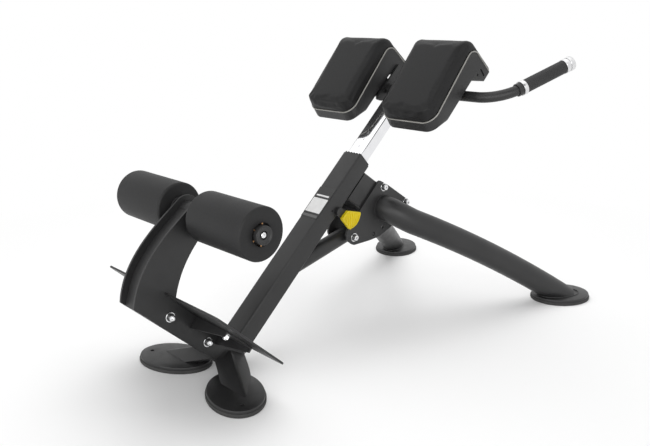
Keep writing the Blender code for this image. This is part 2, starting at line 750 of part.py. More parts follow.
def stub_box(looks, body):
    bm = tube_shell(BEAM_WIDTH, BOX_HEIGHT, BOX_WALL, BOX_CORNER, 0, BOX_START, BOX_LENGTH)
    box = add("stub_box", bm, looks["frame"], BOX, body)
    return shaped(box, "beam_face", beam_space(), BEAM)


def beam_space():
    """All that lies behind the beam's front face, which a joined tube stops at."""
    return block((0, -BEAM_WIDTH, -BEAM_DEPTH - FIT), (2 * SPACE_REACH, BEAM_WIDTH, SPACE_REACH))


def side_plate(side, sign, looks, body):
    low, high = sorted((sign * PLATE_INNER, sign * PLATE_OUTER))
    plate = add(f"side_plate_{side}", prism(rounded(PLATE_OUTLINE), low, high), looks["frame"], BOX, body)
    holes = bmesh.new()
    for place in (BOLT_A, BOLT_B, BOLT_C):
        rod(BOLT_RADIUS + FIT, -HOLE_REACH, HOLE_REACH, 16, place, holes)
    for place, radius in PLATE_HOLES:
        rod(radius, -HOLE_REACH, HOLE_REACH, 12, place, holes)
    return shaped(plate, "holes", holes, BOX)


def plate_spacer(name, place, looks, body):
    frame = BOX @ Matrix.Translation((place[0], 0, place[1]))
    half = BEAM_WIDTH / 2
    bm = ring_piece(BOLT_RADIUS + FIT, SPACER_RADIUS, -half, half, 20)
    return add(name, bm, looks["frame"], frame, body)


def through_bolt(name, frame, half_grip, looks, body):
    """A domed socket screw with its nut, through a grip centred on the frame."""
    face = -half_grip - FIT
    seat = half_grip + FIT
    top = face - BOLT_HEAD_HEIGHT
    end = seat + NUT_HEIGHT
    profile = [(0, top)] + [(share * BOLT_HEAD_RADIUS, top + depth) for share, depth in BOLT_DOME]
    profile += [(BOLT_HEAD_RADIUS, face), (BOLT_RADIUS, face), (BOLT_RADIUS, seat), (NUT_RADIUS, seat)]
    profile += [(NUT_RADIUS, end - NUT_EDGE), (NUT_RADIUS - NUT_EDGE, end), (0, end)]
    bolt = add(name, turned(profile, 14), looks["zinc"], frame, body)
    socket = rod(BOLT_SOCKET_RADIUS, top - BOLT_SOCKET_DEPTH, top + BOLT_SOCKET_DEPTH, 6)
    return shaped(bolt, "socket", socket, frame)


def brace_ends():
    """The brace's start on the beam's front face and the middle of bolt C."""
    start = BEAM @ Vector((BRACE_ON_BEAM, 0, -BEAM_DEPTH))
    end = BOX @ Vector((BOLT_C[0], 0, BOLT_C[1]))
    return start, end


def brace_tube(looks, body):
    """The round brace, with a boss across its end for bolt C."""
    start, bolt = brace_ends()
    along = (bolt - start).normalized()
    path = [start - BEAM_DEPTH * along, bolt + BRACE_PAST_BOLT * along]
    bm = pipe(path, Vector((0, 1, 0)), BRACE_RADIUS, BRACE_WALL, 26)
    brace = add("brace_tube", bm, looks["frame"], Matrix.Identity(4), body)
    shaped(brace, "beam_face", beam_space(), BEAM)
    half = BEAM_WIDTH / 2
    shaped(brace, "boss", rod(BRACE_BOSS_RADIUS, -half, half, 20, BOLT_C), BOX, "UNION")
    return shaped(brace, "bolt_hole", rod(BOLT_RADIUS + FIT, -HOLE_REACH, HOLE_REACH, 16, BOLT_C), BOX)


def bench_leg(side, sign, looks, body):
    """A round leg that leaves the side plate squarely and bends down to its foot."""
    root = BOX @ Vector((LEG_ROOT[0], sign * (PLATE_OUTER - LEG_IN_PLATE), LEG_ROOT[1]))
    shoulder = root + Vector((LEG_SHOULDER[0], sign * LEG_SHOULDER[1], LEG_SHOULDER[2]))
    end = GROUND @ Vector((LEG_END[0], sign * LEG_END[1], FOOT_HEIGHT))
    run = end - shoulder
    leaving = (run + Vector((0, 0, 4 * LEG_BULGE))).normalized()
    square = root + Vector((0, sign * LEG_SHOULDER_HANDLE, 0))
    bend = bezier(root, square, shoulder - LEG_SHOULDER_HANDLE * leaving, shoulder, 4)
    path = [Vector(p) for p in bend]
    steps = 5
    for i in range(1, steps + 2):
        s = i / steps
        rise = 4 * LEG_BULGE * s * (1 - s)
        path.append(shoulder + s * run + Vector((0, 0, rise)))
    across = run.cross(Vector((0, sign, 0))).normalized()
    bm = pipe(path, across, LEG_RADIUS, LEG_WALL, 20, ends=(Vector((0, sign, 0)), path[-1] - path[-2]))
    leg = add(f"front_leg_{side}", bm, looks["frame"], Matrix.Identity(4), body)
    floor = block((0, -SPACE_REACH, -SPACE_REACH), (2 * SPACE_REACH, SPACE_REACH, FOOT_HEIGHT + FIT))
    shaped(leg, "foot_cut", floor, GROUND)
    edge = PLATE_OUTER + FIT
    plates = block((-SPACE_REACH, -edge, -SPACE_REACH), (SPACE_REACH, edge, SPACE_REACH))
    return shaped(leg, "plate_cut", plates, BOX)


# Feet

def oval(centre, size, turn, inset=0.0, steps=32):
    """Points of an oval, its long axis turned by this angle from +X."""
    angle = math.radians(turn)
    points = []
    for i in range(steps):
        t = math.tau * i / steps
        along = (size[0] - inset) * math.cos(t)
        across = (size[1] - inset) * math.sin(t)
        x = centre[0] + along * math.cos(angle) - across * math.sin(angle)
        y = centre[1] + along * math.sin(angle) + across * math.cos(angle)
        points.append((x, y))
    return points


def oval_slab(centre, size, turn, levels):
    """A disc with an oval plan through (height, inset) levels."""
    rings = []
    for height, inset in levels:
        rings.append([(x, y, height) for x, y in oval(centre, size, turn, inset)])
    return loft(rings)


def bench_foot(end, side, sign, looks, body):
    if end == "front":
        centre, size, turn = FRONT_FOOT_CENTRE, FRONT_FOOT_SIZE, FRONT_FOOT_TURN
    else:
        centre, size, turn = REAR_FOOT_CENTRE, REAR_FOOT_SIZE, REAR_FOOT_TURN
    centre = (centre[0], sign * centre[1])
    turn = sign * turn
    edge = FOOT_RUBBER_EDGE
    pad = oval_slab(centre, size, turn, ((0, edge), (edge, 0), (FOOT_RUBBER - edge, 0), (FOOT_RUBBER, edge)))
    add(f"{end}_foot_rubber_{side}", pad, looks["rubber"], GROUND, body)
    low = FOOT_RUBBER + FIT
    edge = FOOT_PLATE_EDGE
    levels = ((low, FOOT_INSET), (FOOT_HEIGHT - edge, FOOT_INSET), (FOOT_HEIGHT, FOOT_INSET + edge))
    plate = add(f"{end}_foot_{side}", oval_slab(centre, size, turn, levels), looks["frame"], GROUND, body)
    if end == "rear":
        upright = Matrix.Rotation(math.radians(90), 4, "X")
        for i, (x, y) in enumerate(REAR_FOOT_HOLES):
            frame = GROUND @ Matrix.Translation((x, sign * y, FOOT_HEIGHT)) @ upright
            hole = rod(FOOT_HOLE_RADIUS, -FOOT_HOLE_DEPTH, FOOT_HOLE_DEPTH, 12)
            shaped(plate, f"hole_{i + 1}", hole, frame)
    return plate


def flange_height(x, y):
    """The height of the flange's plane through the ridge's two ends and the flange's top."""
    foot = Vector((SLOPE_START, FOOT_LINE[1], FOOT_HEIGHT))
    top = Vector((RIDGE_TOP[0], RIDGE_TOP[1], FOOT_HEIGHT + SLOPE * (RIDGE_TOP[0] - SLOPE_START)))
    normal = (top - foot).cross(Vector(FLANGE_TOP) - foot)
    return foot.z - (normal.x * (x - foot.x) + normal.y * (y - foot.y)) / normal.z, normal, foot


def rear_leg_plate(looks, body):
    """A folded sheet: a sloping face across both rear feet, with a flange along each ridge."""
    start = FOOT_HEIGHT + FIT - LEG_SINK
    normal, foot = flange_height(0, 0)[1:]
    foot_x = foot.x - normal.y * (FLANGE_FOOT_Y - foot.y) / normal.x

    def on_slope(x, y):
        return (x, y, start + SLOPE * (x - SLOPE_START))

    def on_flange(x, y):
        return (x, y, flange_height(x, y)[0] + FIT - LEG_SINK)

    bm = bmesh.new()
    rows = {}
    for sign in (-1, 1):
        corners = [
            on_slope(SLOPE_START, sign * FOOT_LINE[0]),
            on_slope(SLOPE_START, sign * FOOT_LINE[1]),
            on_slope(RIDGE_TOP[0], sign * RIDGE_TOP[1]),
        ]
        flange = [
            (FLANGE_TOP[0], sign * FLANGE_TOP[1], FLANGE_TOP[2] + FIT - LEG_SINK),
            (FLANGE_KNEE[0], sign * FLANGE_KNEE[1], on_flange(*FLANGE_KNEE)[2]),
            (foot_x, sign * FLANGE_FOOT_Y, start),
        ]
        rows[sign] = [bm.verts.new(p) for p in corners]
        edge = [bm.verts.new(p) for p in flange]
        bm.faces.new((rows[sign][1], rows[sign][2], *edge))
    low = [bm.verts.new(on_slope(CENTRE_EDGE[0], y)) for y in (-CENTRE_EDGE[1], CENTRE_EDGE[1])]
    right, left = rows[-1], rows[1]
    bm.faces.new((right[0], right[1], right[2], left[2], left[1], left[0], low[1], low[0]))
    bmesh.ops.recalc_face_normals(bm, faces=bm.faces)
    ridges = [e for e in bm.edges if len(e.link_faces) == 2]
    bmesh.ops.bevel(bm, geom=ridges, offset=FOLD_RADIUS, segments=3, affect="EDGES", profile=0.5)
    plate = add("rear_leg_plate", bm, looks["frame"], GROUND, body)
    sheet = plate.modifiers.new("sheet", "SOLIDIFY")
    sheet.thickness = LEG_SHEET
    sheet.offset = -1
    sheet.use_even_offset = True
    floor_low = (-SPACE_REACH, -SPACE_REACH, -SPACE_REACH)
    floor = block(floor_low, (SPACE_REACH, SPACE_REACH, FOOT_HEIGHT + FIT))
    shaped(plate, "foot_cut", floor, GROUND)
    outline = channel_outline(CHANNEL_GAP)
    return shaped(plate, "channel_cut", prism(outline, -ARM_INNER - FIT, ARM_INNER + FIT), ARM)


# Roller arm and base

def channel_outline(grow=0.0):
    """The base channel's side view, along the arm frame."""
    rear = CHANNEL_REAR - grow
    top = CHANNEL_TOP + grow
    front, nose, toe = CHANNEL_OUTLINE
    bottom = CHANNEL_TOP + toe[1] - grow
    points = [(rear, bottom), (rear, top), (front + grow, top)]
    points += [(nose[0] + grow, CHANNEL_TOP + nose[1] - grow), (toe[0], bottom)]
    return points


def base_channel(looks, body):
    """A channel open below, between the arm plates, under the beam's foot."""
    half = ARM_INNER - FIT
    channel = add("base_channel", prism(channel_outline(), -half, half), looks["frame"], ARM, body)
    inner = half - CHANNEL_WALL
    low = (CHANNEL_REAR - CHANNEL_WALL, -inner, 0)
    high = (CHANNEL_OUTLINE[0] - CHANNEL_WALL, inner, CHANNEL_TOP - CHANNEL_WALL)
    shaped(channel, "hollow", block(low, high), ARM)
    holes = bmesh.new()
    for place in ARM_BOLTS:
        rod(BOLT_RADIUS + FIT, -HOLE_REACH, HOLE_REACH, 16, place, holes)
    return shaped(channel, "bolt_holes", holes, ARM)


def arm_rear_edge(offset, steps=12):
    """The arm's rear edge from the top arc to the bottom, moved inwards by an offset."""
    start = (AXLE_A - ARM_TOP_RADIUS, AXLE_T)
    path = [Vector(p) for p in bezier(start, *ARM_REAR_CURVE, steps)]
    moved = []
    for point, along in zip(path, directions(path)):
        moved.append(tuple(point + offset * Vector((-along.y, along.x))))
    return moved


def arm_plate(side, sign, looks, body):
    low, high = sorted((sign * ARM_INNER, sign * (ARM_INNER + ARM_PLATE)))
    outline = arc((AXLE_A, AXLE_T), ARM_TOP_RADIUS, 0, 180, 12)
    outline += arm_rear_edge(0.0)[1:]
    outline += [(ARM_FRONT_BOTTOM, ARM_BOTTOM), (ARM_FRONT_TOP, FOOTPLATE_BOTTOM - FIT)]
    start = (AXLE_A + ARM_TOP_RADIUS, AXLE_T)
    outline += bezier(start, *ARM_FRONT_CURVE, 10)[:0:-1]
    plate = add(f"arm_plate_{side}", prism(outline, low, high), looks["frame"], ARM, body)
    holes = rod(SLEEVE_RADIUS + FIT, -HOLE_REACH, HOLE_REACH, 28, (AXLE_A, AXLE_T))
    for place in ARM_BOLTS:
        rod(BOLT_RADIUS + FIT, -HOLE_REACH, HOLE_REACH, 16, place, holes)
    return shaped(plate, "holes", holes, ARM)


def arm_web(looks, body):
    """The recessed web between the arm plates, closed by a short flange at the bottom."""
    outer = arm_rear_edge(WEB_RECESS)
    inner = arm_rear_edge(WEB_RECESS + WEB_THICKNESS)
    foot = ARM_BOTTOM + WEB_THICKNESS
    outer[-1] = (outer[-1][0], ARM_BOTTOM)
    flange = CHANNEL_REAR - FIT
    outline = outer + [(flange, ARM_BOTTOM), (flange, foot), (inner[-1][0], foot)] + inner[-2::-1]
    half = ARM_INNER - FIT
    web = add("arm_web", prism(outline, -half, half), looks["frame"], ARM, body)
    boss = rod(AXLE_BOSS_RADIUS + 2 * FIT, -HOLE_REACH, HOLE_REACH, 28, (AXLE_A, AXLE_T))
    return shaped(web, "boss_cut", boss, ARM)


def axle_sleeve(looks, body):
    """The sleeve through both arm plates, which spaces the rollers from the arm."""
    end = ROLLER_INNER_END - HUB_CAP_FLANGE - FIT - RUNNING
    inner = ARM_INNER - FIT
    profile = [(AXLE_RADIUS + FIT, -end), (SLEEVE_RADIUS, -end), (SLEEVE_RADIUS, -inner)]
    profile += [(AXLE_BOSS_RADIUS, -inner), (AXLE_BOSS_RADIUS, inner), (SLEEVE_RADIUS, inner)]
    profile += [(SLEEVE_RADIUS, end), (AXLE_RADIUS + FIT, end)]
    return add("axle_sleeve", turned(profile, 28, ring=True), looks["frame"], AXLE, body)


def footplate(looks, body):
    """The standing plate, notched at the rear for the roller arm."""
    wide = FOOTPLATE_HALF_WIDTH
    notch = ARM_INNER + ARM_PLATE + FOOTPLATE_NOTCH_GAP
    notch_end = ARM_FRONT_CURVE[-1][0] + FOOTPLATE_NOTCH_GAP
    corners = [
        ((FOOTPLATE_FRONT, -wide), FOOTPLATE_CORNER),
        ((FOOTPLATE_FRONT, wide), FOOTPLATE_CORNER),
        ((FOOTPLATE_REAR, wide), FOOTPLATE_CORNER),
        ((FOOTPLATE_REAR, notch), FOOTPLATE_NOTCH_CORNER),
        ((notch_end, notch), 0.0),
        ((notch_end, -notch), 0.0),
        ((FOOTPLATE_REAR, -notch), FOOTPLATE_NOTCH_CORNER),
        ((FOOTPLATE_REAR, -wide), FOOTPLATE_CORNER),
    ]
    bm = slab(rounded(corners), FOOTPLATE_BOTTOM, FOOTPLATE_BOTTOM + FOOTPLATE_THICKNESS)
    return add("footplate", bm, looks["frame"], ARM, body)


def footplate_bracket(side, sign, looks, body):
    """A channel under the footplate whose two flanges taper outwards."""
    top = FOOTPLATE_BOTTOM - FIT
    root = ARM_INNER + ARM_PLATE + FIT
    outline = [(root, top), (BRACKET_REACH, top), (BRACKET_REACH, BRACKET_TIP), (root, BRACKET_ROOT)]
    ends = [[(a, sign * y, t) for y, t in outline] for a in (BRACKET_REAR, BRACKET_FRONT)]
    bracket = add(f"footplate_bracket_{side}", loft(ends), looks["frame"], ARM, body)
    low = (BRACKET_REAR + BRACKET_SHEET, -SPACE_REACH, 0)
    high = (BRACKET_FRONT - BRACKET_SHEET, SPACE_REACH, top - BRACKET_SHEET)
    return shaped(bracket, "hollow", block(low, high), ARM)


# Rollers

def roller_axle(looks, body):
    """A long axle bolt whose domed heads sit in the outer hub caps."""
    seat = ROLLER_OUTER_END - HUB_CAP_RECESS + RUNNING
    end = seat + SCREW_HEAD
    half = [(AXLE_RADIUS, 0), (AXLE_RADIUS, seat), (SCREW_RADIUS, seat), (SCREW_RADIUS, end - SCREW_DOME[1])]
    half += [(SCREW_RADIUS - SCREW_DOME[0], end), (0, end)]
    profile = [(radius, -y) for radius, y in half[:0:-1]] + half[1:]
    axle = add("roller_axle", turned(profile, 20), looks["zinc"], AXLE, body)
    depth = SCREW_SOCKET_DEPTH
    sockets = rod(SCREW_SOCKET, end - depth, end + depth, 6)
    rod(SCREW_SOCKET, -end - depth, depth - end, 6, bm=sockets)
    return shaped(axle, "sockets", sockets, AXLE)


def foam_roller(side, sign, looks, body):
    """The foam sleeve, rounded at both ends."""
    bore = CORE_RADIUS + FIT
    inner, outer = ROLLER_INNER_END, ROLLER_OUTER_END
    profile = [(bore, inner)]
    for x, y in arc((ROLLER_RADIUS - ROLLER_ROUND, inner + ROLLER_ROUND), ROLLER_ROUND, -90, 0, 2):
        profile.append((x, y))
    for x, y in arc((ROLLER_RADIUS - ROLLER_ROUND, outer - ROLLER_ROUND), ROLLER_ROUND, 0, 90, 2):
        profile.append((x, y))
    profile.append((bore, outer))
    bm = turned([(radius, sign * y) for radius, y in profile], 32, ring=True)
    return add(f"foam_roller_{side}", bm, looks["foam"], AXLE, body)


def roller_core(side, sign, looks, body):
    """The moulded core in the foam, with a flange over the foam's inner end."""
    flange_end = ROLLER_INNER_END - HUB_CAP_FLANGE
    flange = ROLLER_INNER_END - FIT
    end = ROLLER_OUTER_END - HUB_CAP_PLUG - FIT
    bore = AXLE_RADIUS + RUNNING
    profile = [(bore, flange_end), (HUB_CAP_RADIUS - HUB_EDGE, flange_end)]
    profile += [(HUB_CAP_RADIUS, flange_end + HUB_EDGE), (HUB_CAP_RADIUS, flange)]
    profile += [(CORE_RADIUS, flange), (CORE_RADIUS, end), (bore, end)]
    bm = turned([(radius, sign * y) for radius, y in profile], 24, ring=True)
    return add(f"roller_core_{side}", bm, looks["plastic"], AXLE, body)


def hub_cap(side, sign, looks, body):
    """The outer cap, a plug with a notched flange over the foam's end."""
    face = ROLLER_OUTER_END
    plug = face - HUB_CAP_PLUG
    floor = face - HUB_CAP_RECESS
    top = face + HUB_CAP_FLANGE
    bore = AXLE_RADIUS + RUNNING
    well = SCREW_RADIUS + 2 * RUNNING
    profile = [(bore, plug), (CORE_RADIUS - HUB_EDGE, plug), (CORE_RADIUS, plug + HUB_EDGE)]
    profile += [(CORE_RADIUS, face + FIT), (HUB_CAP_RADIUS, face + FIT), (HUB_CAP_RADIUS, top - HUB_EDGE)]
    profile += [(HUB_CAP_RADIUS - HUB_EDGE, top), (well, top), (well, floor), (bore, floor)]
    bm = turned([(radius, sign * y) for radius, y in profile], 20, ring=True)
    cap = add(f"hub_cap_{side}", bm, looks["plastic"], AXLE, body)
    notches = bmesh.new()
    for i in range(HUB_NOTCHES):
        angle = math.tau * (i + 0.5) / HUB_NOTCHES
        place = (HUB_CAP_RADIUS * math.cos(angle), HUB_CAP_RADIUS * math.sin(angle))
        low, high = sorted((sign * (face + HUB_NOTCH_START), sign * (top + HUB_CAP_FLANGE)))
        rod(HUB_NOTCH_RADIUS, low, high, 6, place, notches)
    return shaped(cap, "notches", notches, AXLE)


# Pads

def pad_curve(bend, low_edge, depth, flap_end, steps=5):
    """A pad line along the flat, round the bend and down the front flap."""
    points = [(low_edge + (bend[0] - low_edge) * i / PAD_FLATS, depth) for i in range(PAD_FLATS)]
    points += arc(bend[:2], bend[2], 90, 0, steps)
    points.append((bend[0] + bend[2], (bend[1] + flap_end) / 2))
    points.append((bend[0] + bend[2], flap_end))
    return points


def plan_shift(distance):
    """How far the pad's lower edge draws in, this far from its side, for the round corner."""
    if distance >= PAD_CORNER:
        return 0.0
    return PAD_CORNER - math.sqrt(PAD_CORNER ** 2 - (PAD_CORNER - distance) ** 2)


def pad_section(distance, share):
    """The cushion's upper and piping lines at this distance from the side."""
    top = pad_curve(PAD_BEND, PAD_LOW_EDGE, PAD_TOP, PAD_FLAP_END)
    line = pad_curve(PIPING_BEND, PAD_LOW_PIPING, PIPING_DEPTH, PAD_FLAP_END)
    half = (PAD_OUTER - PAD_INNER) / 2
    crown = PAD_CROWN * (1 - (1 - min(distance / half, 1)) ** 2)
    drawn = plan_shift(distance)
    upper = []
    for (v, m), (pv, pm) in zip(top, line):
        point = Vector((pv + (v - pv) * share, pm + (m - pm) * share))
        lift = Vector((v - pv, m - pm)).normalized() * crown * share
        upper.append(point + lift)
    lower = [Vector(p) for p in line]
    for points in (upper, lower):
        bend_start = points[PAD_FLATS + 1].x
        room = bend_start - points[0].x
        for i in range(PAD_FLATS + 1):
            points[i] = points[i] + Vector((drawn * (bend_start - points[i].x) / room, 0))
    return upper, lower


def across_pad(sign, sections):
    """Rings across the pad from its sections, mirrored about the pad's middle."""
    rings = []
    for distance, points in sections:
        rings.append([(p[0], sign * (PAD_INNER + distance), p[1]) for p in points])
    for distance, points in sections[-2::-1]:
        rings.append([(p[0], sign * (PAD_OUTER - distance), p[1]) for p in points])
    return rings


def pad_cushion(side, sign, looks, body):
    """The upholstered top of one pad, crowned, with chamfered sides and round lower corners."""
    sections = []
    for distance, share in PAD_STATIONS:
        upper, lower = pad_section(distance, share)
        sections.append((distance, upper + lower[::-1]))
    return add(f"pad_cushion_{side}", loft(across_pad(sign, sections)), looks["vinyl"], PAD, body, 40)


def shell_section(distance):
    """The moulded underside below the piping line."""
    lower = pad_section(distance, 1.0)[1]
    along = directions(lower)
    upper = [p - FIT * Vector((-d.y, d.x)) for p, d in zip(lower, along)]
    drawn = plan_shift(distance)
    edge = max(0.0, SHELL_EDGE - distance)
    base = []
    for (v, m), share in SHELL_OUTLINE:
        base.append(Vector((v + share * drawn, m + edge)))
    return upper + base


def pad_shell(side, sign, looks, body):
    sections = [(d, shell_section(d)) for d, share in PAD_STATIONS]
    shell = add(f"pad_shell_{side}", loft(across_pad(sign, sections)), looks["plastic"], PAD, body, 40)
    outer = sorted((sign * (PAD_OUTER - SHELL_RECESS), sign * (PAD_OUTER + SHELL_RECESS)))
    start, end = Vector(SHELL_SLOT[0]), Vector(SHELL_SLOT[1])
    side_step = SHELL_SLOT_WIDTH / 2 * (end - start).orthogonal().normalized()
    outline = [start + side_step, end + side_step, end - side_step, start - side_step]
    shaped(shell, "slot", prism([tuple(p) for p in outline], *outer), PAD)
    hole = rod(SHELL_HOLE_RADIUS, *outer, 12, SHELL_HOLE)
    return shaped(shell, "hole", hole, PAD)


def pad_bracket(side, sign, looks, body):
    """A plate and an inner cheek under the pad's shell, on two lugs that saddle the handle tube."""
    front, rear = Vector(SHELL_OUTLINE[1][0]), Vector(SHELL_OUTLINE[2][0])
    along = (front - rear).normalized()
    down = Vector((along.y, -along.x))
    handle = PAD.inverted() @ (BEAM @ Vector((HANDLE_U, 0, TUBE_MIDDLE)))
    middle = Vector((handle.x, handle.z))
    foot = rear + along * (middle - rear).dot(along) + down * FIT
    corners = [foot - along * CARRIER_REACH, foot + along * LUG_HALF_WIDTH]
    outline = corners + [p + down * CARRIER_PLATE for p in corners[::-1]]
    near = PAD_INNER - FIT - CHEEK_THICKNESS
    ends = sorted((sign * near, sign * (PAD_OUTER - CARRIER_INSET)))
    bracket = add(f"pad_bracket_{side}", prism([tuple(p) for p in outline], *ends), looks["frame"], PAD, body)
    cheek = sorted((sign * near, sign * (near + CHEEK_THICKNESS)))
    shaped(bracket, "cheek", prism(rounded(CHEEK_OUTLINE), *cheek), PAD, "UNION")
    root = foot + down * LUG_IN_PLATE
    tip = middle + down * LUG_PAST_TUBE[0]
    tip_side = along * (HANDLE_RADIUS + LUG_PAST_TUBE[1])
    lug = [root - along * LUG_HALF_WIDTH * LUG_SPREAD, root + along * (LUG_HALF_WIDTH - RUNNING)]
    lug += [tip + tip_side, tip - tip_side]
    for i, place in enumerate(LUG_PLACES):
        y = sorted((sign * (place - LUG_THICKNESS / 2), sign * (place + LUG_THICKNESS / 2)))
        shaped(bracket, f"lug_{i + 1}", prism([tuple(p) for p in lug], *y), PAD, "UNION")
    seat = rod(HANDLE_RADIUS + FIT, -PAD_OUTER, PAD_OUTER, 32, (handle.x, handle.z))
    return shaped(bracket, "tube_seat", seat, PAD)


# Handle

def handle_bend(sign):
    """The handle's bend on one side: its arc, then its straight end's start and direction."""
    centre_line = BEAM @ Vector((HANDLE_U, 0, TUBE_MIDDLE))
    out = Vector((0, sign, 0))
    leaving = Vector((HANDLE_DIRECTION[0], sign * HANDLE_DIRECTION[1], HANDLE_DIRECTION[2])).normalized()
    half = out.angle(leaving) / 2
    start = centre_line + out * HANDLE_STRAIGHT
    inward = (leaving - out * leaving.dot(out)).normalized()
    centre = start + inward * HANDLE_BEND
    steps = 5
    points = []
    for i in range(steps + 1):
        angle = 2 * half * i / steps
        points.append(centre + HANDLE_BEND * (math.sin(angle) * out - math.cos(angle) * inward))
    return points, leaving


def handle_tube(looks, body):
    right, right_way = handle_bend(-1)
    left, left_way = handle_bend(1)
    length = GRIP_START + GRIP_LENGTH
    path = [right[-1] + right_way * length] + right[::-1] + left + [left[-1] + left_way * length]
    rings = []
    inner = []
    for i, (point, way) in enumerate(zip(path, directions(path))):
        if i in (0, 1):
            way = -right_way
        if i in (len(path) - 2, len(path) - 1):
            way = left_way
        plane = Vector((0, 1, 0)).cross(right_way).normalized()
        rings.append(circle_about(point, way, plane, HANDLE_RADIUS, 16))
        inner.append(circle_about(point, way, plane, HANDLE_RADIUS - HANDLE_WALL, 16))
    bm = loft(rings + inner[::-1], closed=True)
    return add("handle_tube", bm, looks["frame"], Matrix.Identity(4), body)


def grip_frame(sign):
    """A frame at the straight end's start, with Y along the grip."""
    points, leaving = handle_bend(sign)
    turn = Vector((0, 1, 0)).rotation_difference(leaving).to_matrix().to_4x4()
    return Matrix.Translation(points[-1]) @ turn


def grip_pieces(side, sign, looks, body):
    frame = grip_frame(sign)
    bore = HANDLE_RADIUS + FIT
    start = GRIP_START
    ring = ring_piece(bore, GRIP_RING_RADIUS, start - GRIP_COLLAR_LENGTH, start - FIT, 18, GRIP_RING_EDGE)
    add(f"grip_ring_inner_{side}", ring, looks["aluminium"], frame, body)
    end = start + GRIP_LENGTH
    sleeve = ring_piece(bore, GRIP_RADIUS, start, end, 18, GRIP_RING_EDGE)
    add(f"grip_sleeve_{side}", sleeve, looks["rubber"], frame, body)
    seat = end + FIT
    plug = HANDLE_RADIUS - HANDLE_WALL - FIT
    neck = GRIP_RING_RADIUS - GRIP_GROOVE_DEPTH
    ring_end = seat + GRIP_RING_LENGTH
    cap_start = ring_end + GRIP_GROOVE
    cap_end = cap_start + GRIP_CAP_LENGTH
    radius = GRIP_RING_RADIUS
    profile = [(0, seat - GRIP_PLUG), (plug, seat - GRIP_PLUG), (plug, seat), (radius, seat)]
    profile += [(radius, ring_end), (neck, ring_end), (neck, cap_start), (radius, cap_start)]
    profile += [(radius, cap_end - GRIP_CAP_EDGE), (radius - GRIP_CAP_EDGE, cap_end), (0, cap_end)]
    add(f"grip_cap_{side}", turned(profile, 18), looks["aluminium"], frame, body)


# Assembly

def build():
    clear_scene()
    looks = materials()
    bench = pivot("bench", GROUND)
    carriage = pivot("pad_carriage", BEAM, bench)
    latch = pivot("release_lever", LATCH, bench)

    main_beam(looks, bench)
    guide_sleeve(looks, bench)
    height_tube(looks, carriage)
    tube_glide(looks, carriage)
    tube_cap(looks, carriage)

    latch_shaft(looks, latch)
    latch_pawl(looks, latch)
    lever_hub(looks, latch)
    lever_paddle(looks, latch)
    latch_spring(looks, bench)

    stub_box(looks, bench)
    brace_tube(looks, bench)
    plate_spacer("plate_spacer_upper", BOLT_A, looks, bench)
    plate_spacer("plate_spacer_front", BOLT_B, looks, bench)
    for name, place in (("upper", BOLT_A), ("front", BOLT_B), ("lower", BOLT_C)):
        frame = BOX @ Matrix.Translation((place[0], 0, place[1]))
        through_bolt(f"plate_bolt_{name}", frame, PLATE_OUTER, looks, bench)

    base_channel(looks, bench)
    arm_web(looks, bench)
    axle_sleeve(looks, bench)
    footplate(looks, bench)
    rear_leg_plate(looks, bench)
    roller_axle(looks, bench)
    for name, place in zip(("rear", "front"), ARM_BOLTS):
        frame = ARM @ Matrix.Translation((place[0], 0, place[1]))
        through_bolt(f"arm_bolt_{name}", frame, ARM_INNER + ARM_PLATE, looks, bench)

    handle_tube(looks, carriage)
    for side, sign in SIDES:
        side_plate(side, sign, looks, bench)
        bench_leg(side, sign, looks, bench)
        bench_foot("front", side, sign, looks, bench)
        bench_foot("rear", side, sign, looks, bench)
        arm_plate(side, sign, looks, bench)
        footplate_bracket(side, sign, looks, bench)
        roller = pivot(f"roller_{side}", AXLE, bench)
        foam_roller(side, sign, looks, roller)
        roller_core(side, sign, looks, roller)
        hub_cap(side, sign, looks, roller)
        pad_cushion(side, sign, looks, carriage)
        pad_shell(side, sign, looks, carriage)
        pad_bracket(side, sign, looks, carriage)
        grip_pieces(side, sign, looks, carriage)


build()
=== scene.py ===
import math

import bmesh
import bpy
import numpy as np
from mathutils import Matrix, Vector


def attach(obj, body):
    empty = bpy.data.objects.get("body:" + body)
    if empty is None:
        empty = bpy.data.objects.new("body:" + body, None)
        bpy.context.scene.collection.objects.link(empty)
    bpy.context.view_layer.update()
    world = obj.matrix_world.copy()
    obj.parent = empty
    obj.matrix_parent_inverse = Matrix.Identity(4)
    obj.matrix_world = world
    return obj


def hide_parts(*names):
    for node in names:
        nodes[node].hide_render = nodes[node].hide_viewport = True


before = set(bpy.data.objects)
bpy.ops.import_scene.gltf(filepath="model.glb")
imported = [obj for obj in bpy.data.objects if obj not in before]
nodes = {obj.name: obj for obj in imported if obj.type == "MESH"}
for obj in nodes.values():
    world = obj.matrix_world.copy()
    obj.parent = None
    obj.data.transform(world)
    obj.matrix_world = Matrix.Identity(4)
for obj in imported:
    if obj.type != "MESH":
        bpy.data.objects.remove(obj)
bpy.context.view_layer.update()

# Hyperextension bench: finishes, upholstery, fastenings, light and camera.
# Lengths are in metres. Each frame below has X along its piece and Z across it.

layout = {
    "middleX": 0.5056, "beamStartX": -0.0214, "beamAngle": 43.0, "armAngle": -43.0, "padAngle": 49.5,
    "padOrigin": (0.635, 0.718), "boxAlongBeam": 0.6627, "beamDepth": 0.055, "boxAngle": -34.2,
    "latch": (0.569, 0, -0.0486), "axle": (-0.302, 0, 0.3045),
}
sides = (("right", -1), ("left", 1))
gap = 0.0003            # air between two pieces
soft = 0.0006           # a small eased corner
boltHole = 0.0063
through = (-0.1, 0.1)   # a cutter's ends, past both sides of the bench's middle


def tilted(x, z, degrees):
    return Matrix.Translation((x, 0, z)) @ Matrix.Rotation(-math.radians(degrees), 4, "Y")


def spot(place, y=0.0):
    return Matrix.Translation((place[0], y, place[1]))


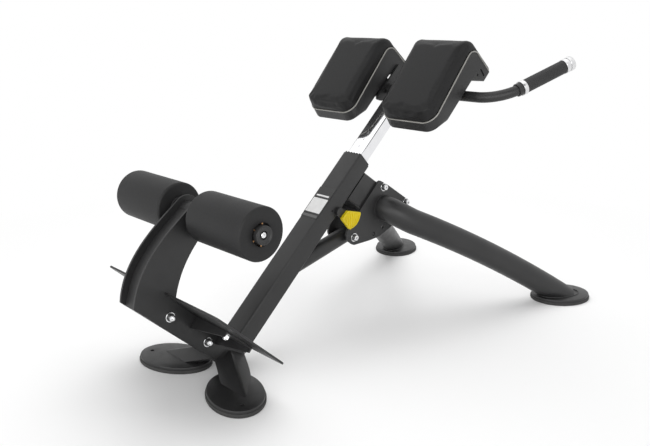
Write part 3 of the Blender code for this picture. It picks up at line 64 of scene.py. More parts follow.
def turnTo(way):
    return Vector((0, 1, 0)).rotation_difference(way).to_matrix().to_4x4()


ground = Matrix.Translation((-layout["middleX"], 0, 0))
beamAt = ground @ tilted(layout["beamStartX"], 0, layout["beamAngle"])
armAt = ground @ tilted(0, 0, layout["armAngle"])
padAt = ground @ tilted(*layout["padOrigin"], layout["padAngle"])
boxTurn = layout["boxAngle"] - layout["beamAngle"]
boxAt = beamAt @ tilted(layout["boxAlongBeam"], -layout["beamDepth"], boxTurn)
latchAt = beamAt @ Matrix.Translation(layout["latch"])
axleAt = armAt @ Matrix.Translation(layout["axle"])
world = Matrix.Identity(4)
upright = Matrix.Rotation(math.radians(90), 4, "X")


# Shader helpers

def setInputs(tree, node, values):
    for key, value in values.items():
        if isinstance(value, bpy.types.NodeSocket):
            tree.links.new(value, node.inputs[key])
        else:
            node.inputs[key].default_value = value
    return node


def addNode(tree, kind, values, **settings):
    made = tree.nodes.new(kind)
    for key, value in settings.items():
        setattr(made, key, value)
    return setInputs(tree, made, values)


def objectCoords(tree, stretch=(1, 1, 1), turn=0.0):
    coords = addNode(tree, "ShaderNodeTexCoord", {}).outputs["Object"]
    values = {"Vector": coords, "Rotation": (0, math.radians(turn), 0), "Scale": stretch}
    return addNode(tree, "ShaderNodeMapping", values).outputs["Vector"]


def noise(tree, at, scale, detail=2.0, rough=0.5, distortion=0.0):
    values = {"Vector": at, "Scale": scale, "Detail": detail, "Roughness": rough, "Distortion": distortion}
    return addNode(tree, "ShaderNodeTexNoise", values).outputs["Fac"]


def cells(tree, at, scale, smooth):
    values = {"Vector": at, "Scale": scale, "Smoothness": smooth}
    return addNode(tree, "ShaderNodeTexVoronoi", values, feature="SMOOTH_F1").outputs["Distance"]


def ranged(tree, value, low, high, fromLow=0.3, fromHigh=0.7):
    values = {"Value": value, "From Min": fromLow, "From Max": fromHigh, "To Min": low, "To Max": high}
    return addNode(tree, "ShaderNodeMapRange", values).outputs["Result"]


def mathNode(tree, operation, first, second):
    return addNode(tree, "ShaderNodeMath", {0: first, 1: second}, operation=operation).outputs["Value"]


def newMaterial(name):
    made = bpy.data.materials.new(name)
    made.use_nodes = True
    return made, made.node_tree, made.node_tree.nodes["Principled BSDF"]


# Finishes

def finish(name, colour, fields, tint, shine, bumps=(), metallic=0.0, plain=0.5, **sockets):
    # fields are the noises, the first one tints. Bumps are (field, strength, distance), the coarsest first.
    made, tree, shader = newMaterial(name)
    made.diffuse_color = (*colour, 1)
    setInputs(tree, shader, {"Base Color": (*colour, 1), "Metallic": metallic, "Roughness": plain})
    setInputs(tree, shader, {key.replace("_", " "): value for key, value in sockets.items()})
    at = objectCoords(tree)
    found = {}
    for key, numbers in fields.items():
        if key == "cells":
            found[key] = cells(tree, at, *numbers)
        elif key == "streak":
            # drawn out along the beam, as polishing leaves it
            along = objectCoords(tree, (0.06, 1, 1), layout["beamAngle"])
            found[key] = noise(tree, along, *numbers)
        else:
            found[key] = noise(tree, at, *numbers)
    factor = ranged(tree, found[next(iter(fields))], 0, 1)
    values = {"Factor": factor, "A": (*tint[0], 1), "B": (*tint[1], 1)}
    mix = addNode(tree, "ShaderNodeMix", values, data_type="RGBA")
    rough = [ranged(tree, found[key], low, high) for key, low, high in shine]
    rough = mathNode(tree, "ADD", *rough) if len(rough) > 1 else rough[0]
    setInputs(tree, shader, {"Base Color": mix.outputs["Result"], "Roughness": rough})
    normal = {}
    for key, strength, distance in bumps:
        values = {"Height": found[key], "Strength": strength, "Distance": distance, **normal}
        normal = {"Normal": addNode(tree, "ShaderNodeBump", values).outputs["Normal"]}
    setInputs(tree, shader, normal)
    return made


def evenFinish(name, colour, tint, cloud, fine, shine, bump=None, **more):
    # a cloudy tint, and one fine noise for both shine and grain
    bumps = [("fine", *bump)] if bump else []
    return finish(name, colour, {"cloud": cloud, "fine": fine}, tint, [("fine", *shine)], bumps, **more)


def mattRubber(name, dark, light, shine=(0.68, 0.86)):
    return evenFinish(name, dark, (dark, light), (24, 4), (1300, 3), shine, (0.25, 0.0002), plain=0.8)


def mouldedPlastic(name, dark, light, shine=(0.38, 0.52)):
    return evenFinish(name, dark, (dark, light), (14, 4), (1700, 2), shine, (0.18, 0.00015), plain=0.45)


def printedFilm(name, colour, rough):
    tint = (tuple(0.93 * c for c in colour), colour)
    return evenFinish(name, colour, tint, (60, 3), (60, 3), (rough - 0.04, rough + 0.04), plain=rough)


looks = {
    "coat": finish(
        "blackPowderCoat", (0.017, 0.017, 0.0175),
        {"cloud": (7, 4), "speck": (1500, 2), "peel": (330, 2), "rub": (38, 6, 0.62)},
        ((0.0145, 0.0145, 0.0150), (0.0205, 0.0205, 0.0208)),
        [("rub", -0.05, 0.06), ("speck", 0.36, 0.46)], [("peel", 0.16, 0.0004), ("speck", 0.10, 0.00012)],
    ),
    "chrome": finish(
        "polishedChrome", (0.82, 0.82, 0.84), {"smear": (26, 5, 0.6), "streak": (420, 4)},
        ((0.78, 0.78, 0.80), (0.86, 0.86, 0.87)),
        [("streak", 0.03, 0.08), ("smear", 0.0, 0.05)], [("streak", 0.03, 0.0001)], metallic=1.0, plain=0.07,
    ),
    "foam": finish(
        "blackFoamSkin", (0.014, 0.014, 0.0145), {"cloud": (16, 4), "cells": (1150, 0.6), "skin": (480, 3)},
        ((0.0125, 0.0125, 0.013), (0.0180, 0.0180, 0.0183)),
        [("skin", 0.50, 0.62), ("cloud", -0.04, 0.04)], [("skin", 0.10, 0.0004), ("cells", 0.22, 0.00022)],
        plain=0.62, Specular_IOR_Level=0.30,
    ),
    "vinyl": finish(
        "blackVinyl", (0.010, 0.010, 0.0105),
        {"cloud": (9, 4), "cells": (620, 0.45), "fold": (260, 4, 0.6, 0.4)},
        ((0.0090, 0.0090, 0.0094), (0.0130, 0.0130, 0.0133)),
        [("fold", 0.42, 0.54), ("cloud", -0.04, 0.04)], [("fold", 0.12, 0.0005), ("cells", 0.30, 0.00030)],
        Specular_IOR_Level=0.25,
    ),
    "zinc": evenFinish(
        "brightZinc", (0.70, 0.71, 0.72), ((0.74, 0.75, 0.77), (0.86, 0.86, 0.85)),
        (160, 3), (1900, 2), (0.14, 0.28), (0.08, 0.0001), metallic=1.0, plain=0.20,
    ),
    "aluminium": evenFinish(
        "turnedAluminium", (0.74, 0.74, 0.75), ((0.68, 0.68, 0.69), (0.80, 0.80, 0.80)),
        (90, 3), (2400, 2), (0.22, 0.34), (0.10, 0.0001), metallic=1.0, plain=0.28,
    ),
    "spring": evenFinish(
        "springWire", (0.36, 0.36, 0.37), ((0.26, 0.26, 0.27), (0.42, 0.41, 0.40)),
        (900, 3), (900, 3), (0.26, 0.42), metallic=1.0, plain=0.34,
    ),
    "bush": evenFinish(
        "bronzeBush", (0.55, 0.30, 0.14), ((0.46, 0.24, 0.11), (0.66, 0.38, 0.19)),
        (700, 3), (700, 3), (0.26, 0.44), metallic=1.0, plain=0.34,
    ),
    "piping": evenFinish(
        "greyPiping", (0.30, 0.295, 0.275), ((0.26, 0.255, 0.235), (0.36, 0.35, 0.33)),
        (30, 3), (900, 3), (0.5, 0.7), (0.3, 0.0003), plain=0.62, Sheen_Weight=0.1,
    ),
    "grip": mattRubber("gripRubber", (0.016, 0.016, 0.0165), (0.022, 0.022, 0.0223), (0.5, 0.66)),
    "foot": mattRubber("footRubber", (0.030, 0.030, 0.030), (0.042, 0.042, 0.041)),
    "plastic": mouldedPlastic("blackPlastic", (0.015, 0.015, 0.0155), (0.021, 0.021, 0.0213)),
    "shell": mouldedPlastic("shellPlastic", (0.014, 0.014, 0.0145), (0.019, 0.019, 0.0193), (0.44, 0.58)),
    "yellow": mouldedPlastic("yellowPlastic", (0.66, 0.50, 0.002), (0.76, 0.60, 0.005), (0.40, 0.52)),
    "oxide": mouldedPlastic("blackOxide", (0.020, 0.020, 0.021), (0.030, 0.030, 0.031), (0.32, 0.44)),
    "labelDark": printedFilm("labelDark", (0.012, 0.012, 0.012), 0.22),
    "labelWhite": printedFilm("labelWhite", (0.93, 0.93, 0.925), 0.30),
    "labelGrey": printedFilm("labelGrey", (0.13, 0.13, 0.13), 0.30),
    "etched": printedFilm("etchedMark", (0.40, 0.40, 0.405), 0.6),
}
print("stage: finishes ready,", len(looks))


# Outlines and solids

def evenly(start, end, steps):
    return [start + (end - start) * i / steps for i in range(steps + 1)]


def arcPoints(centre, radius, start, end, steps):
    points = []
    for degrees in evenly(start, end, steps):
        angle = math.radians(degrees)
        points.append((centre[0] + radius * math.cos(angle), centre[1] + radius * math.sin(angle)))
    return points


def bezierPoints(start, first, second, end, steps):
    points = []
    for i in range(steps + 1):
        t = i / steps
        weights = ((1 - t) ** 3, 3 * t * (1 - t) ** 2, 3 * t * t * (1 - t), t ** 3)
        corners = (start, first, second, end)
        points.append(tuple(sum(w * c[k] for w, c in zip(weights, corners)) for k in range(len(start))))
    return points


def circleSteps(steps):
    return [(math.cos(math.tau * i / steps), math.sin(math.tau * i / steps)) for i in range(steps)]


def roundedOutline(corners, steps=8):
    outline = []
    for i, (point, radius) in enumerate(corners):
        here = Vector(point)
        back = Vector(corners[i - 1][0]) - here
        ahead = Vector(corners[(i + 1) % len(corners)][0]) - here
        half = back.angle(ahead) / 2
        reach = min(radius / math.tan(half), 0.48 * back.length, 0.48 * ahead.length)
        if reach < 1e-6:
            outline.append(tuple(here))
            continue
        centre = here + (back.normalized() + ahead.normalized()).normalized() * reach / math.cos(half)
        first = here + back.normalized() * reach - centre
        last = here + ahead.normalized() * reach - centre
        sweep = first.angle_signed(last)
        for k in range(steps + 1):
            outline.append(tuple(centre + Matrix.Rotation(-sweep * k / steps, 2) @ first))
    return outline


def rectangleOutline(low, high, corner, steps=7):
    corners = (low, (high[0], low[1]), high, (low[0], high[1]))
    return roundedOutline([(point, corner) for point in corners], steps)


def eased(*corners):
    # a corner's third number cuts it to two points, a fourth one pulls a third point in between them
    points = []
    for i, (r, y, *cut) in enumerate(corners):
        if not cut:
            points.append((r, y))
            continue
        ways = []
        for other in (corners[i - 1], corners[(i + 1) % len(corners)]):
            length = math.hypot(other[0] - r, other[1] - y)
            ways.append(((other[0] - r) / length, (other[1] - y) / length))
        found = [(r + cut[0] * x, y + cut[0] * z) for x, z in ways]
        if len(cut) > 1:
            found.insert(1, (r + cut[1] * (ways[0][0] + ways[1][0]), y + cut[1] * (ways[0][1] + ways[1][1])))
        points += found
    return points


def bothEnds(half):
    # a profile whose lower half mirrors the upper one
    return [(r, -y) for r, y in half[::-1]] + half


def loft(rings, closed=False):
    bm = bmesh.new()
    loops = [[bm.verts.new(point) for point in ring] for ring in rings]
    pairs = list(zip(loops, loops[1:]))
    if closed:
        pairs.append((loops[-1], loops[0]))
    for first, second in pairs:
        for i in range(len(first)):
            j = (i + 1) % len(first)
            bm.faces.new((first[i], first[j], second[j], second[i]))
    if not closed:
        bm.faces.new(loops[0])
        bm.faces.new(loops[-1])
    return bm


def extruded(points, shift):
    bm = bmesh.new()
    face = bm.faces.new([bm.verts.new(p) for p in points])
    grown = bmesh.ops.extrude_face_region(bm, geom=[face])["geom"]
    moved = [item for item in grown if isinstance(item, bmesh.types.BMVert)]
    bmesh.ops.translate(bm, vec=shift, verts=moved)
    return bm


def prism(outline, low, high):
    return extruded([(x, low, z) for x, z in outline], (0, high - low, 0))


def slab(outline, low, high):
    return extruded([(x, y, low) for x, y in outline], (0, 0, high - low))


def block(low, high, bm=None, at=world):
    bm = bm or bmesh.new()
    size = Vector(high) - Vector(low)
    middle = (Vector(high) + Vector(low)) / 2
    bmesh.ops.create_cube(bm, size=1, matrix=at @ Matrix.Translation(middle) @ Matrix.Diagonal((*size, 1)))
    return bm


def rod(radius, low, high, steps=48, place=(0, 0), bm=None):
    bm = bm or bmesh.new()
    matrix = Matrix.Translation((place[0], (low + high) / 2, place[1])) @ upright
    bmesh.ops.create_cone(
        bm, cap_ends=True, segments=steps, radius1=radius, radius2=radius, depth=high - low, matrix=matrix
    )
    return bm


def turned(profile, steps=72, ring=False, sign=1):
    bm = bmesh.new()
    verts = [bm.verts.new((radius, sign * y, 0)) for radius, y in profile]
    edges = [bm.edges.new(pair) for pair in zip(verts, verts[1:])]
    if ring:
        edges.append(bm.edges.new((verts[-1], verts[0])))
    bmesh.ops.spin(
        bm, geom=verts + edges, cent=(0, 0, 0), axis=(0, 1, 0), angle=math.tau, steps=steps, use_merge=True
    )
    bmesh.ops.remove_doubles(bm, verts=bm.verts, dist=1e-6)
    return bm


# Objects

def shown(name, data):
    obj = bpy.data.objects.new(name, data)
    bpy.context.scene.collection.objects.link(obj)
    return obj


def newObject(name, bm, look=None, at=world):
    bm.transform(at)
    bmesh.ops.recalc_face_normals(bm, faces=bm.faces)
    mesh = bpy.data.meshes.new(name)
    bm.to_mesh(mesh)
    bm.free()
    if look:
        mesh.materials.append(looks[look])
    return shown(name, mesh)


def resultMesh(obj):
    graph = bpy.context.evaluated_depsgraph_get()
    return bpy.data.meshes.new_from_object(obj.evaluated_get(graph))


def keepResult(obj):
    mesh = resultMesh(obj)
    obj.modifiers.clear()
    old = obj.data
    obj.data = mesh
    bpy.data.meshes.remove(old)
    return obj


def carve(obj, cutters, operation="DIFFERENCE"):
    helpers = []
    for bm, at in cutters:
        helper = newObject("cutter", bm, None, at)
        boolean = obj.modifiers.new("cut", "BOOLEAN")
        boolean.operation = operation
        boolean.solver = "EXACT"
        boolean.object = helper
        helpers.append(helper)
    keepResult(obj)
    for helper in helpers:
        bpy.data.objects.remove(helper, do_unlink=True)
    return obj


def smoothed(obj, sharp=35):
    obj.data.shade_smooth()
    obj.data.set_sharp_from_angle(angle=math.radians(sharp))
    return obj


def edged(obj, width, limit=40):
    smoothed(obj, limit)
    bevel = obj.modifiers.new("edge", "BEVEL")
    bevel.width = width
    bevel.segments = 2
    bevel.limit_method = "ANGLE"
    bevel.angle_limit = math.radians(limit)
    bevel.harden_normals = True
    return obj


def settle(obj, look="coat", body="bench", *replaced):
    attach(obj, body)
    if replaced:
        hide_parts(*replaced)
    return obj


def piece(name, bm, look, body, at, *replaced, cutters=(), edge=0.0, sharp=35):
    # a cutter without a frame of its own is in the piece's frame
    obj = newObject(name, bm, look, at)
    if cutters:
        carve(obj, [cutter if isinstance(cutter, tuple) else (cutter, at) for cutter in cutters])
    if edge:
        edged(obj, edge)
    else:
        smoothed(obj, sharp)
    return settle(obj, look, body, *replaced)


def trimmed(node, look="coat", body="bench", edge=soft):
    # a copy of a frame node with its flat faces joined and its edges eased
    bm = bmesh.new()
    bm.from_mesh(nodes[node].data)
    bmesh.ops.remove_doubles(bm, verts=bm.verts, dist=2e-6)
    bmesh.ops.dissolve_limit(bm, angle_limit=math.radians(0.5), verts=bm.verts, edges=bm.edges)
    return piece(f"{node}_eased", bm, look, body, world, node, edge=edge)


# Node trees for what follows a path or repeats

def newTree(name, inputs):
    tree = bpy.data.node_groups.new(name, "GeometryNodeTree")
    tree.interface.new_socket(name="Geometry", in_out="INPUT", socket_type="NodeSocketGeometry")
    for label, kind in inputs.items():
        tree.interface.new_socket(name=label, in_out="INPUT", socket_type="NodeSocket" + kind)
    tree.interface.new_socket(name="Material", in_out="INPUT", socket_type="NodeSocketMaterial")
    tree.interface.new_socket(name="Geometry", in_out="OUTPUT", socket_type="NodeSocketGeometry")
    return tree, addNode(tree, "NodeGroupInput", {}).outputs


def finishTree(tree, given, geometry):
    real = addNode(tree, "GeometryNodeRealizeInstances", {"Geometry": geometry})
    values = {"Geometry": real.outputs["Geometry"], "Material": given["Material"]}
    paint = addNode(tree, "GeometryNodeSetMaterial", values)
    addNode(tree, "NodeGroupOutput", {"Geometry": paint.outputs["Geometry"]})
    return tree


def pathTree():
    # a round bar along the lines of a mesh, with a little unevenness for welds
    sockets = {"Radius": "Float", "Sides": "Int", "Unevenness": "Float", "Ripple": "Float"}
    tree, given = newTree("barAlongPath", sockets)
    curve = addNode(tree, "GeometryNodeMeshToCurve", {"Mesh": given["Geometry"]})
    values = {"Radius": given["Radius"], "Resolution": given["Sides"]}
    circle = addNode(tree, "GeometryNodeCurvePrimitiveCircle", values)
    values = {"Curve": curve.outputs["Curve"], "Profile Curve": circle.outputs["Curve"], "Fill Caps": True}
    sweep = addNode(tree, "GeometryNodeCurveToMesh", values)
    values = {"Scale": given["Ripple"], "W": 3.0, "Detail": 1.0}
    ripple = addNode(tree, "ShaderNodeTexNoise", values, noise_dimensions="4D")
    centred = mathNode(tree, "SUBTRACT", ripple.outputs["Fac"], 0.5)
    amount = mathNode(tree, "MULTIPLY", centred, given["Unevenness"])
    normal = addNode(tree, "GeometryNodeInputNormal", {}).outputs["Normal"]
    push = addNode(tree, "ShaderNodeVectorMath", {0: normal, "Scale": amount}, operation="SCALE")
    values = {"Geometry": sweep.outputs["Mesh"], "Offset": push.outputs["Vector"]}
    shift = addNode(tree, "GeometryNodeSetPosition", values)
    return finishTree(tree, given, shift.outputs["Geometry"])


def copiesTree():
    # one copy of a pattern piece on each point, turned by the point's own angles
    tree, given = newTree("copiesOnPoints", {"Pattern": "Object"})
    info = addNode(tree, "GeometryNodeObjectInfo", {"Object": given["Pattern"]})
    angles = addNode(tree, "GeometryNodeInputNamedAttribute", {"Name": "angles"}, data_type="FLOAT_VECTOR")
    copies = addNode(tree, "GeometryNodeInstanceOnPoints", {
        "Points": given["Geometry"], "Instance": info.outputs["Geometry"],
        "Rotation": angles.outputs["Attribute"],
    })
    return finishTree(tree, given, copies.outputs["Instances"])


barTree = pathTree()
copyTree = copiesTree()


def runTree(obj, tree, **values):
    modifier = obj.modifiers.new("tree", "NODES")
    modifier.node_group = tree
    for item in tree.interface.items_tree:
        if item.item_type == "SOCKET" and item.in_out == "INPUT" and item.name in values:
            modifier[item.identifier] = values[item.name]
    return keepResult(obj)


def pathObject(name, points, closed=False):
    mesh = bpy.data.meshes.new(name)
    edges = [(i, i + 1) for i in range(len(points) - 1)]
    if closed:
        edges.append((len(points) - 1, 0))
    mesh.from_pydata([tuple(p) for p in points], edges, [])
    return shown(name, mesh)


def bar(name, points, radius, look="coat", closed=False, steps=32, **more):
    obj = pathObject(name, points, closed)
    runTree(obj, barTree, Radius=radius, Sides=steps, Material=looks[look], **more)
    return smoothed(obj, 50)


def copiesOf(name, pattern, places, look):
    # places are frames, and the pattern's own origin lands on each
    obj = pathObject(name, [m.to_translation() for m in places])
    attribute = obj.data.attributes.new("angles", "FLOAT_VECTOR", "POINT")
    attribute.data.foreach_set("vector", [value for m in places for value in m.to_euler()])
    runTree(obj, copyTree, Pattern=pattern, Material=looks[look])
    return smoothed(obj, 35)


def joined(name, parts):
    # several plain meshes as one piece, each keeping its own finish
    bm = bmesh.new()
    finishes = []
    for part in parts:
        start = len(bm.faces)
        bm.from_mesh(part.data)
        bm.faces.ensure_lookup_table()
        for face in bm.faces[start:]:
            used = part.data.materials[face.material_index]
            if used not in finishes:
                finishes.append(used)
            face.material_index = finishes.index(used)
        bpy.data.objects.remove(part, do_unlink=True)
    mesh = bpy.data.meshes.new(name)
    bm.to_mesh(mesh)
    bm.free()
    for used in finishes:
        mesh.materials.append(used)
    return shown(name, mesh)


# Beam, latch opening and height tube

beam = {
    "width": 0.064, "wall": 0.003, "corner": 0.006, "start": 0.095, "end": 0.730, "floor": 0.0990,
    "window": (-0.014, 0.026), "windowHalf": 0.011, "windowDeep": (-0.01, 0.005), "shaftHole": 0.0031,
    "springHole": 0.003, "springPlace": (0.5565, -0.030),
}
tube = {
    "width": 0.054, "depth": 0.036, "wall": 0.0025, "corner": 0.004, "start": 0.300, "end": 1.018,
    "rearGap": 0.008, "slotPitch": 0.025, "slots": 9, "slotLength": 0.012, "slotWidth": 0.020,
    "slotDeep": (-0.003, 0.004), "firstSlot": 0.630, "handleAt": 0.990, "handleRadius": 0.0143,
}
tubeMiddle = -(tube["rearGap"] + tube["depth"] / 2)
numbers = {"first": 0.762, "size": 0.012, "thickness": 0.00006, "count": 5, "curveSteps": 3}
label = {
    "thickness": 0.0003, "corner": 0.0015, "lift": 0.00005,
    "fields": (
        ("labelDark", 0, (0.505, 0.606, 0.030)), ("labelWhite", 1, (0.5235, 0.5700, 0.0275)),
        ("labelWhite", 1, (0.5765, 0.5815, 0.0235)), ("labelGrey", 1, (0.5090, 0.5165, 0.0270)),
    ),
}


def squareTube(sizes, depth, middle):
    rings = []
    for inset in (0, sizes["wall"]):
        across, deep = sizes["width"] / 2 - inset, depth / 2 - inset
        corner = max(sizes["corner"] - inset, 0.001)
        outline = rectangleOutline((-across, middle - deep), (across, middle + deep), corner)
        ends = (sizes["end"], sizes["start"]) if inset else (sizes["start"], sizes["end"])
        rings += [[(end, *p) for p in outline] for end in ends]
    return loft(rings, closed=True)


def mainBeam():
    depth, u = layout["beamDepth"], layout["latch"][0]
    low, high = [(u + x, -depth + z) for x, z in zip(beam["window"], beam["windowDeep"])]
    half = beam["windowHalf"]
    cutters = [
        (block((-0.4, through[0], -0.4), (0.4, through[1], beam["floor"])), armAt),
        block((low[0], -half, low[1]), (high[0], half, high[1])),
        (rod(beam["shaftHole"], *through, 32), latchAt),
        rod(beam["springHole"], through[0], 0, 32, beam["springPlace"]),
    ]
    bm = squareTube(beam, depth, -depth / 2)
    piece("beam", bm, "coat", "bench", beamAt, "main_beam", cutters=cutters, edge=0.0004)


def heightTube():
    front = -(tube["rearGap"] + tube["depth"])
    slots = bmesh.new()
    along, across = tube["slotLength"] / 2, tube["slotWidth"] / 2
    low, high = [front + deep for deep in tube["slotDeep"]]
    for i in range(tube["slots"]):
        middle = tube["firstSlot"] - i * tube["slotPitch"]
        block((middle - along, -across, low), (middle + along, across, high), slots)
    cutters = [slots, rod(tube["handleRadius"], *through, 64, (tube["handleAt"], tubeMiddle))]
    bm = squareTube(tube, tube["depth"], tubeMiddle)
    name = "height_tube"
    piece(f"{name}_chromed", bm, "chrome", "pad_carriage", beamAt, name, cutters=cutters, edge=0.0004)


def heightNumbers():
    # plain position numbers down the middle of the tube's rear face, read from behind the bench
    turn = Matrix(((0, 1, 0, 0), (-1, 0, 0, 0), (0, 0, 1, 0), (0, 0, 0, 1)))
    made = []
    for i in range(numbers["count"]):
        text = bpy.data.curves.new(f"number{i + 1}", "FONT")
        text.body = str(numbers["count"] - i)
        text.size = numbers["size"]
        text.align_x = "CENTER"
        text.align_y = "CENTER"
        text.extrude = numbers["thickness"]
        text.resolution_u = numbers["curveSteps"]
        obj = shown(f"number{i + 1}", text)
        mesh = resultMesh(obj)
        bpy.data.objects.remove(obj, do_unlink=True)
        where = (numbers["first"] + i * tube["slotPitch"], 0, -tube["rearGap"] + numbers["thickness"])
        mesh.transform(beamAt @ Matrix.Translation(where) @ turn)
        mesh.materials.clear()
        mesh.materials.append(looks["etched"])
        made.append(shown(f"number{i + 1}", mesh))
    settle(joined("height_numbers", made), "etched", "pad_carriage")


def beamLabel():
    # a dark plate with a bare white panel between two plain bars
    made = []
    for look, layer, (start, end, half) in label["fields"]:
        outline = rectangleOutline((start, -half), (end, half), label["corner"], 4)
        base = label["lift"] + layer * label["thickness"]
        made.append(newObject("field", slab(outline, base, base + label["thickness"]), look, beamAt))
    settle(smoothed(joined("beam_label", made)), "labelDark")


mainBeam()
heightTube()
heightNumbers()
beamLabel()
trimmed("guide_sleeve", "plastic", edge=0.0003)
trimmed("tube_glide", "plastic", "pad_carriage", 0.0004)
trimmed("tube_cap", "plastic", "pad_carriage", 0.0008)
print("stage: beam and height tube")


# Release lever

lever = {
    "plateInner": 0.0323, "hubThickness": 0.009, "paddleThickness": 0.008, "pocket": 0.002,
    "pocketShare": 0.86,
    "outline": (
        ((0.0165, -0.0140), 0.003), ((0.0455, -0.0600), 0.005), ((0.0265, -0.0690), 0.030),
        ((0.0074, -0.0715), 0.030), ((-0.0150, -0.0600), 0.005), ((-0.0135, -0.0120), 0.003),
    ),
    "ribs": 7, "ribWidth": 0.0022, "firstRib": -0.030, "ribPitch": 0.011, "ribTurn": 38, "ribHalf": 0.05,
    "ribHeight": (0.0004, 0.003),
}
spring = {
    "radius": 0.0052, "wire": 0.0006, "turns": 3, "start": 0.0329, "pitch": 0.0017, "legs": (0.010, 0.008),
    "steps": 32,
}


def leverPaddle():
    near = -(lever["plateInner"] + lever["hubThickness"] + gap)
    far = near - lever["paddleThickness"]
    outline = roundedOutline(lever["outline"], 8)
    obj = newObject("paddle_body", prism(outline, far, near), "yellow", latchAt)
    middle = sum((Vector(p) for p in outline), Vector((0, 0))) / len(outline)
    inner = [tuple(middle + lever["pocketShare"] * (Vector(p) - middle)) for p in outline]
    carve(obj, [(prism(inner, far - 0.002, far + lever["pocket"]), latchAt)])
    # slanted ribs stand in the pocket, clipped to its outline
    ribs = bmesh.new()
    slant = Matrix.Rotation(math.radians(lever["ribTurn"]), 4, "Y")
    half, end = lever["ribWidth"] / 2, lever["ribHalf"]
    low, high = [far + height for height in lever["ribHeight"]]
    for i in range(lever["ribs"]):
        place = (middle.x + lever["firstRib"] + lever["ribPitch"] * i, 0, middle.y)
        block((-half, low, -end), (half, high, end), ribs, Matrix.Translation(place) @ slant)
    ribObject = newObject("paddle_ribs", ribs, "yellow", latchAt)
    carve(ribObject, [(prism(inner, far - 0.01, near), latchAt)], "INTERSECT")
    whole = edged(joined("release_paddle", [obj, ribObject]), soft)
    settle(whole, "yellow", "release_lever", "lever_paddle")


def latchSpring():
    radius, steps = spring["radius"], spring["steps"]
    points = []
    for i in range(spring["turns"] * steps + 1):
        angle = math.tau * i / steps
        y = spring["start"] + spring["pitch"] * i / steps
        points.append(Vector((radius * math.cos(angle), y, radius * math.sin(angle))))
    points.insert(0, points[0] - Vector((0, 0, spring["legs"][0])))
    points.append(points[-1] + Vector((0, 0, spring["legs"][1])))
    obj = bar("torsion_spring", [latchAt @ p for p in points], spring["wire"], "spring", steps=10)
    settle(obj, "spring", "bench", "latch_spring")


leverPaddle()
latchSpring()
trimmed("lever_hub", "plastic", "release_lever")
trimmed("latch_pawl", "zinc", "release_lever", 0.0003)
trimmed("latch_shaft", "oxide", "release_lever", 0.0003)
print("stage: release lever")


# Side plates, box, brace and legs

plates = {
    "inner": 0.0323, "thickness": 0.006, "edge": 0.0009,
    "outline": (
        ((0.0697, 0.0525), 0.010), ((0.1151, 0.0568), 0.040), ((0.2019, 0.0589), 0.040),
        ((0.2393, 0.0589), 0.012), ((0.2001, -0.0379), 0.008), ((0.1683, -0.0837), 0.040),
        ((0.1352, -0.1098), 0.040), ((0.0798, -0.1475), 0.022), ((0.0405, -0.1464), 0.022),
        ((0.0319, -0.1195), 0.020),
    ),
    "bolts": ((0.0975, 0.0435), (0.2152, 0.0486), (0.0686, -0.1272)),
    "holes": (((0.1395, -0.0875), 0.006), ((0.1644, -0.0549), 0.005), ((0.0946, -0.0055), 0.003)),
    "plugStep": 0.002, "plugGap": 0.0018,
}
plateOuter = plates["inner"] + plates["thickness"]
brace = {
    "start": 0.386, "hidden": 0.055, "radius": 0.0225, "wall": 0.003, "pastBolt": 0.017, "boss": 0.011,
    "bossHalf": 0.032,
}
leg = {
    "radius": 0.0368, "root": (0.1318, -0.0069), "shoulder": (0.0626, 0.070, -0.043), "handle": 0.030,
    "end": (1.108, 0.3444), "bulge": 0.013, "footTop": 0.0171, "steps": 40,
}
weld = {"radius": 0.0024, "rootRadius": 0.0014, "lift": 0.0008, "unevenness": 0.0014, "ripple": 420.0}


def sidePlate(side, sign):
    low, high = sorted((sign * plates["inner"], sign * plateOuter))
    holes = bmesh.new()
    for place in plates["bolts"]:
        rod(boltHole, *through, 40, place, holes)
    for place, radius in plates["holes"]:
        rod(radius, *through, 36, place, holes)
    bm = prism(roundedOutline(plates["outline"], 10), low, high)
    name = f"side_plate_{side}"
    piece(f"{name}_cut", bm, "coat", "bench", boxAt, name, cutters=[holes], edge=plates["edge"])


def platePlug(side, sign):
    # snaps in from the inside, with a dark gap round its middle
    place, radius = plates["holes"][0]
    radius -= gap
    low, step = plates["inner"] - plates["plugStep"], plates["inner"] + plates["plugStep"]
    waist, face = radius - plates["plugGap"], plateOuter - gap
    profile = eased(
        (0, low), (radius, low, soft), (radius, step), (waist, step), (waist, face, soft), (0, face)
    )
    piece(f"plate_plug_{side}", turned(profile, 40, sign=sign), "oxide", "bench", boxAt @ spot(place))


def braceTube():
    lowerBolt = plates["bolts"][2]
    start = beamAt @ Vector((brace["start"], 0, -layout["beamDepth"]))
    reach = boxAt @ Vector((lowerBolt[0], 0, lowerBolt[1])) - start
    along = reach.normalized()
    low, high = -brace["hidden"], reach.length + brace["pastBolt"]
    inner, outer = brace["radius"] - brace["wall"], brace["radius"]
    profile = [(inner, low), (outer, low), (outer, high), (inner, high)]
    at = Matrix.Translation(start) @ turnTo(along)
    obj = newObject("brace", turned(profile, 72, ring=True), "coat", at)
    behind = block((0, through[0], -layout["beamDepth"] - gap), (1.2, through[1], 0.5))
    carve(obj, [(behind, beamAt)])
    carve(obj, [(rod(brace["boss"], -brace["bossHalf"], brace["bossHalf"], 48, lowerBolt), boxAt)], "UNION")
    carve(obj, [(rod(boltHole, *through, 40, lowerBolt), boxAt)])
    settle(edged(obj, 0.0004), "coat", "bench", "brace_tube")
    return start, along


